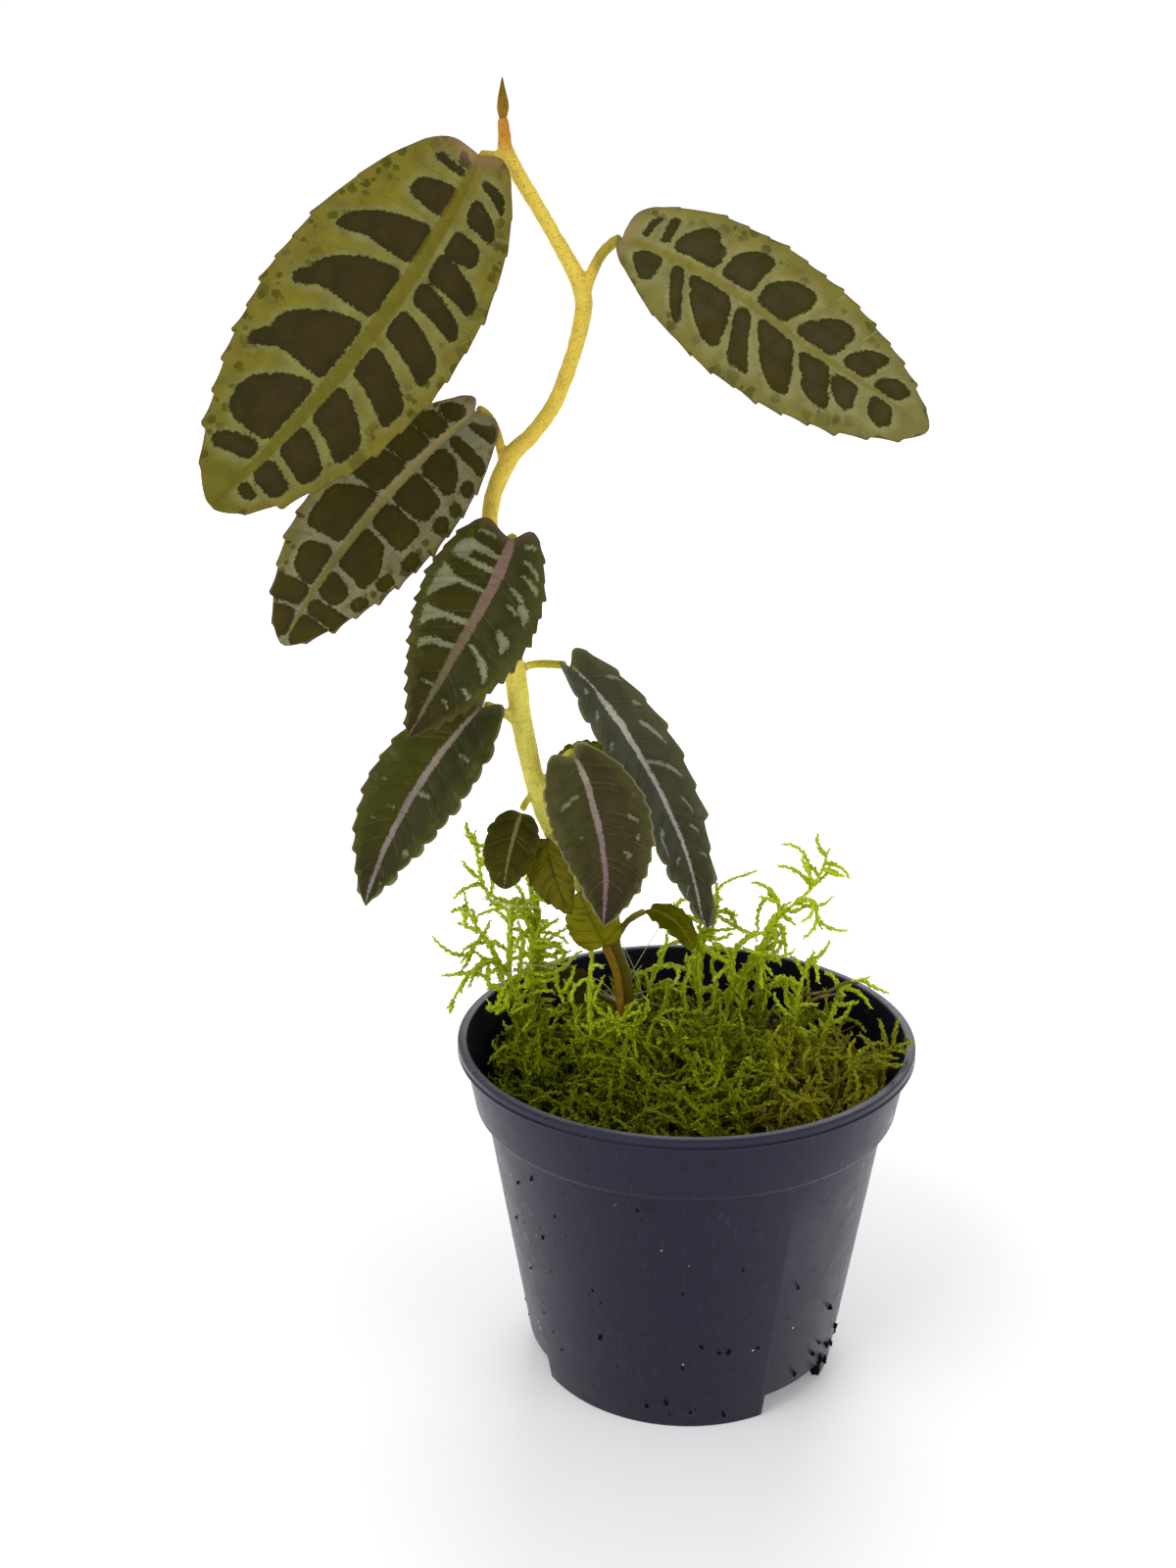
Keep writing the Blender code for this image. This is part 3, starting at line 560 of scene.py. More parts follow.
@dataclass(frozen=True)
class PlasticFinish(Finish):
    """Moulded satin plastic with scuffs, crumbs, dust and damp spots, and painted shade on its inner faces.
    """

    colour: Colour = paint(31, 31, 46)
    # The colour of the inner faces, darker than the same plastic outside: painted shade.
    inside: Colour = paint(23, 22, 32)
    scuff: Colour = paint(96, 98, 112)
    damp: Colour = paint(25, 25, 34)
    crumb: Colour = paint(25, 23, 24)
    dust: Colour = paint(205, 205, 205)

    def surface(self, graph: Graph) -> tuple[Wire, Wire, Wire]:
        """Wears the plastic, its inside painted darker as shade: dull clouds, fine vertical scuffs, dark
        crumbs, pale dust and damp spots.

        Args:
            graph: The material's graph.

        Returns:
            The colour, the roughness and the height in millimetres.
        """
        place = graph.place()
        # Painted shade: the inner faces take the darker inside colour.
        colour = graph.mix(graph.attribute("inner"), self.colour, self.inside)
        colour = graph.effect(Effect.MOTTLE, Color=colour, Vector=place, Scale=0.06, Amount=0.08, Fine=0.04)
        x, y, z = (Wire(graph, part) for part in graph.add("ShaderNodeSeparateXYZ", {0: place}).outputs)
        tall = graph.get("ShaderNodeCombineXYZ", {0: x, 1: y, 2: z * 0.12})
        scuffs = graph.step(graph.noise(tall, 1.6, 5.0), 0.58, 0.74)
        large, small = graph.specks(place, 0.16, 0.26, 0.26), graph.specks(place, 0.42, 0.30, 0.16)
        damp = graph.math("MAXIMUM", large, small)
        crumbs = graph.specks(place, 0.40, 0.20, 0.26)
        dust = graph.specks(place, 0.24, 0.06, 0.34)
        colour = graph.mix(scuffs * 0.10, colour, self.scuff)
        colour = graph.mix(damp * 0.7, colour, self.damp)
        colour = graph.mix(crumbs, colour, self.crumb)
        colour = graph.mix(dust, colour, self.dust)
        roughness = graph.noise(place, 0.25, 4.0) * 0.18 + 0.30 + scuffs * 0.08 - damp * 0.1
        height = graph.grain(damp * 0.03 + crumbs * 0.3, tall, 1.1, 0.025)
        return colour, roughness, graph.grain(height, place, 5.0, 0.012)


@dataclass(frozen=True)
class MossFinish(Finish):
    """Moss: dark low in the mat as partly painted shade, bright at the shoots' ends, painted pale as light
    through the tips, browner where dry.
    """

    # deep is the darkest tone, of the dome and the shoots' feet: partly old growth and partly painted shade
    # low in the mat.
    deep: Colour = paint(40, 44, 6)
    body: Colour = paint(130, 141, 14)
    bright: Colour = paint(202, 217, 50)
    # pale is painted light: the glow of light shining through the brightest leaf tips.
    pale: Colour = paint(226, 234, 136)
    dry: Colour = paint(160, 150, 44)

    def surface(self, graph: Graph) -> tuple[Wire, float, Wire]:
        """Colours each shoot by its own tone and dryness.

        Args:
            graph: The material's graph.

        Returns:
            The colour, the roughness and the height in millimetres.
        """
        place = graph.place()
        tone = graph.cloud(place, 0.12) * 0.3 + graph.attribute("tone")
        colour = graph.mix(graph.step(tone, 0.0, 0.5), self.deep, self.body)
        colour = graph.mix(graph.step(tone, 0.42, 0.9), colour, self.bright)
        # Painted light: the brightest tones turn pale, as light shining through the tips.
        colour = graph.mix(graph.step(tone, 0.85, 1.2), colour, self.pale)
        dried = graph.scaled(self.dry, graph.math("MAXIMUM", tone * 1.1 + 0.05, 0.03))
        dryness = graph.attribute("dry")
        share = graph.cloud(place, 0.16) * 1.2 * dryness + dryness
        colour = graph.mix(graph.math("MINIMUM", graph.math("MAXIMUM", share, 0.0), 1.0), colour, dried)
        colour = graph.effect(Effect.MOTTLE, Color=colour, Vector=place, Scale=0.8, Amount=0.10, Fine=0.05)
        return colour, 0.55, graph.grain(0.0, place, 4.0, 0.08)


class Mark(NamedTuple):
    """A marking between side veins: how far out it runs, and where it starts and ends along the blade."""

    inner: float
    outer: float
    start: float
    end: float
    outer_start: float
    outer_end: float


class Margin(NamedTuple):
    """One side's teeth: their kind, their number, and their depth in millimetres."""

    kind: Teeth
    count: int
    depth: float

    def teeth(self, u: np.ndarray) -> tuple[np.ndarray, np.ndarray]:
        """How far the margin stands out, and how far it is pushed to the tip, along the blade.

        Args:
            u: Places along the midrib.

        Returns:
            The outward shares from -0.5 to 0.6, and the forward shifts as shares of the length.
        """
        first, last = 0.05, 0.965
        step = (last - first) / self.count
        phase = (u - first) / step
        t = phase - np.floor(phase)
        size = 0.8 + 0.35 * np.sin(np.floor(phase) * 2.4 + self.count)
        if self.kind is Teeth.LOBES:
            out = (1 - np.abs(2 * t - 1) ** 2.6) ** 0.7
            forward = 0.05 * step * out
        else:
            peak, power = (0.82, 2.6) if self.kind is Teeth.HOOKS else (0.72, 1.5)
            out = np.where(t < peak, (t / peak) ** power, ((1 - t) / (1 - peak)) ** 0.8)
            forward = 0.16 * step * out
        live = np.clip((u - first) / 0.02, 0, 1) * np.clip((last - u) / 0.02, 0, 1)
        return (out * size - 0.5) * live, forward * live


@dataclass(frozen=True)
class Blade:
    """One leaf blade on its CAD solid's form, with its relief, teeth and markings as numbers of a Mark."""

    name: str
    finish: str
    base: tuple
    tip: tuple
    looks: tuple
    width: float
    rounds: tuple
    arch: float
    sway: float
    uneven: float
    skew: float
    fold: float
    curl: float
    lobe: float
    right_margin: Margin
    left_margin: Margin
    rib: tuple = ((0.0, 0.0, 0.5), (1.0, 0.0, 0.3))
    puff: float = 0.25
    veins: int = 8
    lean: float = 0.12
    right: tuple = ()
    left: tuple = ()
    corner: float = 1.3
    wave: float = 0.3
    bleed: float = 0.0

    def axes(self) -> tuple[np.ndarray, np.ndarray, np.ndarray, np.ndarray, float]:
        """Finds how the blade lies.

        Returns:
            Its base, its tip, the way that it faces, the point that bows its midrib, and its length.
        """
        base, tip, looks = (np.array(p, float) for p in (self.base, self.tip, self.looks))
        length = float(np.linalg.norm(tip - base))
        ahead = (tip - base) / length
        normal = unit(looks - ahead * (looks @ ahead))
        bow = (base + tip) / 2 + (normal * self.arch + np.cross(normal, ahead) * self.sway) * 2 * length
        return base, tip, normal, bow, length

    def marks(self, side: int) -> list[Mark]:
        """The markings of the right side, 1, or the left side, -1."""
        return [Mark(*numbers) for numbers in (self.right if side > 0 else self.left)]

    def samples(self) -> tuple[np.ndarray, np.ndarray]:
        """Picks places along the midrib and across the blade, close where it curves most.

        Returns:
            The places along, as a column, and those across.
        """
        count = max(self.right_margin.count, self.left_margin.count)
        large = self.width > 12
        close = 9 if large else 7
        foot = np.array([0.002, 0.004, 0.008, 0.013, 0.02, 0.028, 0.038])
        end = np.array([0.971, 0.977, 0.983, 0.988, 0.992, 0.995, 0.9975])
        u = np.concatenate([foot, np.linspace(0.05, 0.965, close * count + 1), end])
        line = np.linspace(-1, 1, 57 if large else 33)
        return u[:, None], np.sign(line) * np.abs(line) ** 0.94

    def half_widths(self, u: np.ndarray, v: np.ndarray) -> np.ndarray:
        """The blade's half width, rounder at the base on one side.

        Args:
            u: Places along the midrib.
            v: Places across the blade, from -1 to 1.

        Returns:
            The half widths in millimetres.
        """
        base_round, tip_round = self.rounds
        shape = base_round * np.where(v > 0, 1 - self.skew, np.where(v < 0, 1 + self.skew, 1.0))
        widest = shape / (shape + tip_round)
        peak = widest ** shape * (1 - widest) ** tip_round
        return self.width / 2 * u ** shape * (1 - u) ** tip_round / peak

    def side_veins(self, marks: Sequence[Mark]) -> list[tuple[float, float]]:
        """Lays the side veins between the markings, or else evenly.

        Args:
            marks: One side's markings.

        Returns:
            Each vein's foot on the midrib, and its lean to the tip.
        """
        if self.veins:
            step = 0.86 / self.veins
            return [(0.06 + step * (i + 0.35 * math.sin(2.3 * i)), self.lean) for i in range(self.veins)]
        lines = []
        marks = [mark for mark in marks if mark.inner < 0.7]
        for one, two in zip(marks, marks[1:]):
            foot, out = (one.end + two.start) / 2, (one.outer_end + two.outer_start) / 2
            if two.start > one.end - 0.002:
                lines.append((foot, (out - foot) / max(0.3, one.outer - one.inner)))
        return lines

    def mark_distance(self, u: np.ndarray, away: np.ndarray, half: np.ndarray, length: float,
                      marks: Sequence[Mark]) -> np.ndarray:
        """How far inside the nearest marking each place is.

        Args:
            u: Places along the midrib.
            away: How far each place is from the midrib, as a share.
            half: The half width at each place.
            length: The blade's length.
            marks: One side's markings.

        Returns:
            Distances in millimetres, below 0 outside the markings.
        """
        best = np.full(np.broadcast(u, away).shape, -20.0)
        for mark in marks:
            share = np.clip((away - mark.inner) / (mark.outer - mark.inner), 0, 1) ** 1.45
            start = mark.start + (mark.outer_start - mark.start) * share
            end = mark.end + (mark.outer_end - mark.end) * share
            aside = (np.abs(u - (start + end) / 2) - (end - start) / 2) * length
            out = np.maximum(mark.inner - away, away - mark.outer) * half
            room = (mark.outer - mark.inner) * half.max() / 2
            corner = min(self.corner, 0.49 * length * (mark.end - mark.start), room)
            x, y = aside + corner, out + corner
            inside = np.minimum(np.maximum(x, y), 0) + np.hypot(np.maximum(x, 0), np.maximum(y, 0)) - corner
            best = np.maximum(best, -inside)
        return best + self.bleed

    def build(self) -> bpy.types.Object:
        """Builds the blade as one closed mesh whose points carry the values that the finish reads.

        Returns:
            The new piece.
        """
        u, v = self.samples()
        base, tip, normal, bow, length = self.axes()
        along = unit((bow - base) * (1 - u) + (tip - bow) * u)
        side = unit(np.cross(normal, along))
        up = np.cross(along, side)
        midrib = base * (1 - u) ** 2 + bow * (2 * u * (1 - u)) + tip * u ** 2
        half = self.half_widths(u, v)
        far = np.abs(v)
        out_r, push_r = self.right_margin.teeth(u)
        out_l, push_l = self.left_margin.teeth(u)
        near_margin = far ** 9
        tooth = np.where(v > 0, out_r * self.right_margin.depth, out_l * self.left_margin.depth) * near_margin
        push = np.where(v > 0, push_r, push_l) * length * near_margin
        back = self.lobe * (1 - np.exp(-u / 0.012)) * (1 - u) ** 6 * far ** 1.5
        spread = v * half * (1 + np.sign(v) * self.uneven) + np.sign(v) * tooth
        knots = np.array(self.rib)
        centre = np.interp(u, knots[:, 0], knots[:, 1])
        rib_half = np.interp(u, knots[:, 0], knots[:, 2])
        aside = (v - centre) * half
        vein, puffs = self.relief(u, v - centre, half, length)
        rise = half * (self.fold * far - self.curl * v * v)
        wave = self.wave * np.sin(u * 31 + np.sign(v) * 1.3) * far ** 5 * np.minimum(1, 6 * u * (1 - u))
        lift = rise + puffs + wave - 0.3 * np.exp(-((aside / 0.75) ** 2))
        points = (midrib[:, None, :] + side[:, None, :] * spread[..., None] + up[:, None, :] * lift[..., None]
                  + along[:, None, :] * (push - back)[..., None])
        thick = (0.26 - 0.12 * far ** 6) * np.minimum(1, 0.35 + half / 2)
        ridge = 0.45 * np.exp(-((aside / 0.8) ** 2)) * (1 - u)
        top = points + up[:, None, :] * thick[..., None]
        low = points - up[:, None, :] * (thick + ridge)[..., None]
        away = np.abs(v - centre)
        right, left = (self.mark_distance(u, away, half, length, self.marks(sign)) for sign in (1, -1))
        values = {
            "mark": np.where(v >= centre, right, left),
            "rib": rib_half * half - np.abs(aside),
            "vein": vein,
            "edge": np.minimum((1 - far) * half, np.minimum(u, 1 - u) * length * 1.2),
            "along": np.broadcast_to(u, half.shape),
            "across": np.broadcast_to(v, half.shape),
            "under": np.zeros(half.shape),
        }
        seed = sum(ord(c) for c in self.name) * 7.3
        plan = np.stack([np.broadcast_to(u * length, half.shape), spread, np.full(half.shape, seed)], -1)
        return sheet_mesh(self.name + "_blade", top, low, values, plan)

    def relief(self, u: np.ndarray, v: np.ndarray, half: np.ndarray,
               length: float) -> tuple[np.ndarray, np.ndarray]:
        """Swells the blade between its side veins.

        Args:
            u: Places along the midrib.
            v: Places across the blade from the midrib.
            half: The half width at each place.
            length: The blade's length.

        Returns:
            The distance to the nearest side vein, and the swelling, both in millimetres.
        """
        distance = np.full(half.shape, 9.0)
        for sign in (1, -1):
            for foot, lean in self.side_veins(self.marks(sign)):
                slope = lean * length / np.maximum(half, 0.5)
                path = foot + lean * np.abs(v) ** 1.2
                gap = np.abs(u - path) * length / np.sqrt(1 + slope ** 2)
                distance = np.where(np.sign(v) == sign, np.minimum(distance, gap), distance)
        swell = 1 - np.exp(-((distance / (0.028 * length + 0.3)) ** 2))
        room = np.clip(np.abs(v) / 0.12, 0, 1) * (1 - np.abs(v) ** 6) * np.minimum(1, 8 * u * (1 - u))
        return distance, self.puff * (swell - 0.5) * room


def unit(vectors: np.ndarray) -> np.ndarray:
    """Turns one vector, or each of a row of them, to the length 1."""
    return vectors / np.linalg.norm(vectors, axis=-1, keepdims=True)


def placed(name: str, data: bpy.types.ID) -> bpy.types.Object:
    """Places an object with its data in the scene.

    Args:
        name: Its name.
        data: Its mesh, light or camera.

    Returns:
        The new object.
    """
    made = bpy.data.objects.new(name, data)
    bpy.context.scene.collection.objects.link(made)
    return made


def settled(piece: bpy.types.Object) -> bpy.types.Object:
    """Turns the result of a piece's modifiers into its mesh.

    Args:
        piece: The piece.

    Returns:
        The same piece, without modifiers.
    """
    bpy.context.view_layer.update()
    mesh = bpy.data.meshes.new_from_object(piece.evaluated_get(bpy.context.evaluated_depsgraph_get()))
    piece.modifiers.clear()
    piece.data = mesh
    return piece


def sheet_mesh(name: str, top: np.ndarray, low: np.ndarray, values: dict[str, np.ndarray],
               plan: np.ndarray) -> bpy.types.Object:
    """A closed thin body from two grids of points, in millimetres.

    Args:
        name: The piece's name.
        top: The upper grid.
        low: The lower grid, of the same shape.
        values: What each point of the grid carries for the shader.
        plan: Where each point lies on the flat sheet.

    Returns:
        The piece.
    """
    rows, columns = top.shape[:2]
    grid = np.arange(rows * columns).reshape(rows, columns)
    under = grid + rows * columns
    upper = np.stack([grid[:-1, :-1], grid[1:, :-1], grid[1:, 1:], grid[:-1, 1:]], -1).reshape(-1, 4)
    lower = np.stack([under[:-1, :-1], under[:-1, 1:], under[1:, 1:], under[1:, :-1]], -1).reshape(-1, 4)
    loop = np.concatenate([grid[0, :-1], grid[:-1, -1], grid[-1, :0:-1], grid[:0:-1, 0]])
    after = np.roll(loop, -1)
    rim = np.stack([loop, after, after + rows * columns, loop + rows * columns], -1)
    points = np.concatenate([top.reshape(-1, 3), low.reshape(-1, 3)]) * MM
    carried = {key: np.tile(value.reshape(-1), 2) for key, value in values.items()}
    carried["under"][rows * columns:] = 1.0
    piece = mesh_piece(name, points, np.concatenate([upper, lower, rim]), carried)
    layer = piece.data.attributes.new("plan", "FLOAT_VECTOR", "POINT")
    layer.data.foreach_set("vector", np.tile(plan.reshape(-1, 3), (2, 1)).astype(np.float32).ravel())
    return piece


def mesh_piece(name: str, points: np.ndarray, faces: Sequence, values: dict[str, np.ndarray] | None = None,
               crease: float = 60.0) -> bpy.types.Object:
    """A smooth-shaded piece from points in metres and faces.

    Args:
        name: The piece's name.
        points: Its points in metres.
        faces: The corners of each face.
        values: A number for each point under each name, for the shader.
        crease: Edges sharper than this angle in degrees stay sharp.

    Returns:
        The piece.
    """
    mesh = bpy.data.meshes.new(name)
    mesh.from_pydata(np.asarray(points).tolist(), [], [list(face) for face in faces])
    for key, value in (values or {}).items():
        layer = mesh.attributes.new(key, "FLOAT", "POINT")
        layer.data.foreach_set("value", np.asarray(value, np.float32).ravel())
    mesh.shade_smooth()
    mesh.set_sharp_from_angle(angle=math.radians(crease))
    return placed(name, mesh)


class Soup:
    """Gathers many small closed bodies into one mesh, with named values for each point."""

    def __init__(self, *keys: str) -> None:
        """Takes the names of the values that each point carries."""
        self.points: list[np.ndarray] = []
        self.faces: list[list[int]] = []
        self.values: dict[str, list[np.ndarray]] = {key: [] for key in keys}
        self.count = 0

    def add(self, points: np.ndarray, faces: Sequence[np.ndarray], **values: "float | np.ndarray") -> None:
        """Adds a body.

        Args:
            points: Its points in millimetres.
            faces: Blocks of faces, each with the same number of corners.
            values: A number, or one for each point, under each name.
        """
        self.points.append(points)
        for block in faces:
            self.faces.extend((block + self.count).tolist())
        self.count += len(points)
        for key, kept in self.values.items():
            kept.append(np.broadcast_to(np.asarray(values.get(key, 0.0), float), (len(points),)))

    def piece(self, name: str, crease: float = 60.0) -> bpy.types.Object:
        """Returns all the bodies as one piece."""
        values = {key: np.concatenate(kept) for key, kept in self.values.items()}
        return mesh_piece(name, np.concatenate(self.points) * MM, self.faces, values, crease)


def sweep(points: np.ndarray, radii: np.ndarray, sides: int) -> tuple[np.ndarray, list[np.ndarray]]:
    """A closed tube along a line of points.

    Args:
        points: The line.
        radii: The radius at each of its points.
        sides: How many corners its section has.

    Returns:
        The tube's points, and its quads and triangles.
    """
    tangent = np.gradient(points, axis=0)
    tangent /= np.linalg.norm(tangent, axis=1)[:, None] + 1e-12
    first = np.cross(tangent[0], (0.3, 0.8, 0.52))
    angles = np.arange(sides) * math.tau / sides
    rings = []
    for place, radius, direction in zip(points, radii, tangent):
        first = first - direction * (first @ direction)
        first /= np.linalg.norm(first)
        second = np.cross(direction, first)
        rings.append(place + radius * (np.cos(angles)[:, None] * first + np.sin(angles)[:, None] * second))
    body = np.concatenate([*rings, points[:1], points[-1:]])
    index = np.arange(len(points) * sides).reshape(len(points), sides)
    turned = np.roll(index, -1, axis=1)
    quads = np.stack([index[:-1], turned[:-1], turned[1:], index[1:]], -1).reshape(-1, 4)
    start = np.stack([turned[0], index[0], np.full(sides, len(body) - 2)], -1)
    end = np.stack([index[-1], turned[-1], np.full(sides, len(body) - 1)], -1)
    return body, [quads, start, end]


def smooth_way(knots: Sequence, step: float) -> np.ndarray:
    """A smooth line through knots, which may carry more values than a place.

    Args:
        knots: The knots.
        step: About how far apart the line's points are.

    Returns:
        The line's points, with their other values.
    """
    knots = np.asarray(knots, float)
    padded = np.concatenate([[2 * knots[0] - knots[1]], knots, [2 * knots[-1] - knots[-2]]])
    line = []
    for a, b, c, d in zip(padded, padded[1:], padded[2:], padded[3:]):
        count = max(1, round(float(np.linalg.norm((c - b)[:3])) / step))
        t = (np.arange(count) / count)[:, None]
        line.append(0.5 * (2 * b + (c - a) * t + (2 * a - 5 * b + 4 * c - d) * t ** 2
                           + (3 * b - 3 * c + d - a) * t ** 3))
    return np.concatenate([*line, knots[-1:]])


def lathe(name: str, profile: Sequence[tuple[float, float]], sides: int, values: dict | None = None,
          crease: float = 50.0) -> bpy.types.Object:
    """Turns a profile of radii and heights, which starts and ends on the axis, about Z.

    Args:
        name: The piece's name.
        profile: The profile's points in millimetres.
        sides: The number of steps round the axis.
        values: A number for each of the profile's points under each name.
        crease: Edges sharper than this angle in degrees stay sharp.

    Returns:
        The piece.
    """
    angles = np.arange(sides) * math.tau / sides
    inner = profile[1:-1]
    rings = [np.stack([r * np.cos(angles), r * np.sin(angles), np.full(sides, z)], -1) for r, z in inner]
    ends = np.array([(0, 0, profile[0][1]), (0, 0, profile[-1][1])], float)
    points = np.concatenate([*rings, ends])
    index = np.arange(len(inner) * sides).reshape(len(inner), sides)
    turned = np.roll(index, -1, axis=1)
    quads = np.stack([index[:-1], index[1:], turned[1:], turned[:-1]], -1).reshape(-1, 4)
    first = np.stack([index[0], turned[0], np.full(sides, len(points) - 2)], -1)
    last = np.stack([turned[-1], index[-1], np.full(sides, len(points) - 1)], -1)
    carried = {}
    for key, numbers in (values or {}).items():
        carried[key] = np.concatenate([np.repeat(numbers[1:-1], sides), [numbers[0], numbers[-1]]])
    faces = quads.tolist() + first.tolist() + last.tolist()
    return mesh_piece(name, points * MM, faces, carried, crease)


def rounded(profile: Sequence[tuple[float, float]], radius: float,
            steps: int = 4) -> list[tuple[float, float]]:
    """Rounds each inner corner of a profile off by a short curve.

    Args:
        profile: The profile's points.
        radius: How far from the corner the curve starts.
        steps: How many lines make the curve.

    Returns:
        The rounded profile.
    """
    made = [profile[0]]
    for before, corner, after in zip(profile, profile[1:], profile[2:]):
        b, c, a = (np.array(p, float) for p in (before, corner, after))
        to_b, to_a = b - c, a - c
        reach = min(radius, 0.45 * np.linalg.norm(to_b), 0.45 * np.linalg.norm(to_a))
        start, end = c + to_b / np.linalg.norm(to_b) * reach, c + to_a / np.linalg.norm(to_a) * reach
        for i in range(steps + 1):
            t = i / steps
            made.append(tuple(start * (1 - t) ** 2 + c * 2 * t * (1 - t) + end * t ** 2))
    return made + [profile[-1]]


def lump(rng: random.Random, centre: Sequence[float],
         size: Sequence[float]) -> tuple[np.ndarray, list[np.ndarray]]:
    """A small rough block, turned at random.

    Args:
        rng: The source of its form.
        centre: Its middle in millimetres.
        size: Its half sizes.

    Returns:
        Its eight points, and its six faces.
    """
    corners = np.array([(x, y, z) for x in (-1, 1) for y in (-1, 1) for z in (-1, 1)], float)
    corners *= np.array([[rng.uniform(0.5, 1.0) for _ in range(3)] for _ in range(8)]) * np.array(size)
    turn = Matrix.Rotation(rng.uniform(0, math.tau), 3, "Z") @ Matrix.Rotation(rng.uniform(-0.7, 0.7), 3, "X")
    faces = np.array([(0, 1, 3, 2), (4, 6, 7, 5), (0, 4, 5, 1), (2, 3, 7, 6), (0, 2, 6, 4), (1, 5, 7, 3)])
    return corners @ np.array(turn).T + np.array(centre), [faces]


@dataclass
class NurseryPot:
    """The turned pot, with its gates, drains and the crumbs that cling to it."""

    rim: float = 45.0
    height: float = 69.0
    lip_width: float = 2.0
    lip_depth: float = 2.2
    collar_top: float = 43.6
    collar_low: float = 41.7
    collar_foot: float = 55.0
    shoulder: float = 39.7
    foot: float = 30.9
    wall: float = 1.1
    pad: float = 20.5
    roof: float = 5.6
    gates: tuple = (-43.0, -163.0, 77.0)
    gate_width: float = 17.5
    gate_height: float = 5.0
    drain_radius: float = 2.4
    drain_circle: float = 25.6
    drains: int = 6
    sides: int = 160

    def wall_radius(self, height: float) -> float:
        """The outside of the tapered body at a height."""
        return self.foot + (self.shoulder - self.foot) * height / self.collar_foot

    def profile(self) -> tuple[list[tuple[float, float]], list[float]]:
        """Draws the pot's section from the middle of its floor to its foot.

        Returns:
            The rounded profile, and 1 for each of its points that is inside.
        """
        floor = self.roof + self.wall
        half = self.lip_width / 2
        lip = [(self.rim - half * (1 - math.copysign(abs(math.cos(a)) ** 0.5, math.cos(a))),
                self.height - half * (1 - abs(math.sin(a)) ** 0.5)) for a in np.radians(range(180, -1, -15))]
        inside = [(0, self.wall), (self.pad - self.wall, self.wall), (self.pad, floor),
                  (self.wall_radius(floor) - self.wall, floor),
                  (self.shoulder - self.wall, self.collar_foot - self.wall),
                  (self.collar_low - self.wall, self.collar_foot + self.wall),
                  (self.rim - self.lip_width, self.height - self.lip_depth)]
        foot = self.height - self.lip_depth
        outside = [(self.rim, self.height - 1.15), (self.rim - 0.35, self.height - 1.25),
                   (self.rim - 0.35, self.height - 1.6), (self.rim, self.height - 1.75), (self.rim, foot),
                   (self.collar_top - 0.3, foot - 0.1), (self.collar_top - 0.3, foot - 0.5),
                   (self.collar_top, foot - 0.75),
                   (self.collar_low, self.collar_foot + 0.8), (self.collar_low - 0.7, self.collar_foot),
                   (self.shoulder, self.collar_foot - 0.4), (self.foot, 0), (self.foot - self.wall, 0),
                   (self.wall_radius(self.roof) - self.wall, self.roof), (self.pad + self.wall, self.roof),
                   (self.pad, 0), (0, 0)]
        way = rounded(inside, 0.8)[:-1] + [inside[-1]] + lip[1:] + rounded([lip[-1]] + outside, 0.35)[1:]
        inner = [1.0 if i < len(rounded(inside, 0.8)) + 4 else 0.0 for i in range(len(way))]
        return way, inner

    def build(self) -> bpy.types.Object:
        """Turns the pot and cuts its gates and drains.

        Returns:
            The piece.
        """
        way, inner = self.profile()
        pot = lathe("pot_shell", way, self.sides, {"inner": inner}, 40.0)
        cutters = bpy.data.collections.new("cutters")
        bpy.context.scene.collection.children.link(cutters)
        for angle in self.gates:
            turn = Matrix.Rotation(math.radians(angle), 4, "Z") @ Matrix.Translation((self.foot * MM, 0, 0))
            size = Matrix.Diagonal((10 * MM, self.gate_width * MM, 2 * self.gate_height * MM, 1))
            bm = bmesh.new()
            bmesh.ops.create_cube(bm, size=1, matrix=turn @ size)
            self.cutter(bm, cutters)
        for i in range(self.drains):
            turn = Matrix.Rotation(math.radians(self.gates[0] + i * 360 / self.drains), 4, "Z")
            spot = Matrix.Translation((self.drain_circle * MM, 0, self.roof * MM))
            bm = bmesh.new()
            radius = self.drain_radius * MM
            bmesh.ops.create_cone(bm, cap_ends=True, segments=24, radius1=radius, radius2=radius,
                                  depth=6 * self.wall * MM, matrix=turn @ spot)
            self.cutter(bm, cutters)
        boolean = pot.modifiers.new("gates", "BOOLEAN")
        boolean.operand_type = "COLLECTION"
        boolean.collection = cutters
        boolean.solver = "EXACT"
        settled(pot)
        for obj in list(cutters.objects):
            bpy.data.objects.remove(obj, do_unlink=True)
        bpy.data.collections.remove(cutters)
        return pot

    @staticmethod
    def cutter(bm: bmesh.types.BMesh, cutters: bpy.types.Collection) -> None:
        """Keeps a mesh in the collection that cuts the pot.

        Args:
            bm: The mesh, which is freed.
            cutters: The collection.
        """
        mesh = bpy.data.meshes.new("cutter")
        bm.to_mesh(mesh)
        bm.free()
        cutters.objects.link(bpy.data.objects.new("cutter", mesh))

    def crumbs(self) -> bpy.types.Object:
        """Crumbs of potting mix that cling to the outside, most of them low on the right.

        Returns:
            The piece.
        """
        rng = random.Random(5)
        soup = Soup("tone")
        for i in range(125):
            height = 2 + 50 * rng.random() ** 1.3
            angle = rng.uniform(0, 360)
            if i < 16:
                height, angle = rng.uniform(1.5, 11), rng.gauss(-28, 7)
            turn = math.radians(angle)
            radius = self.wall_radius(height) - 0.05
            size = (0.14 + 0.42 * rng.random() ** 2) * (1.7 if i < 16 else 1)
            spot = (radius * math.cos(turn), radius * math.sin(turn), height)
            body, faces = lump(rng, spot, (size, size * 0.7, size * rng.uniform(0.6, 1.6)))
            soup.add(body, faces, tone=rng.random())
        return soup.piece("pot_crumbs", 25.0)


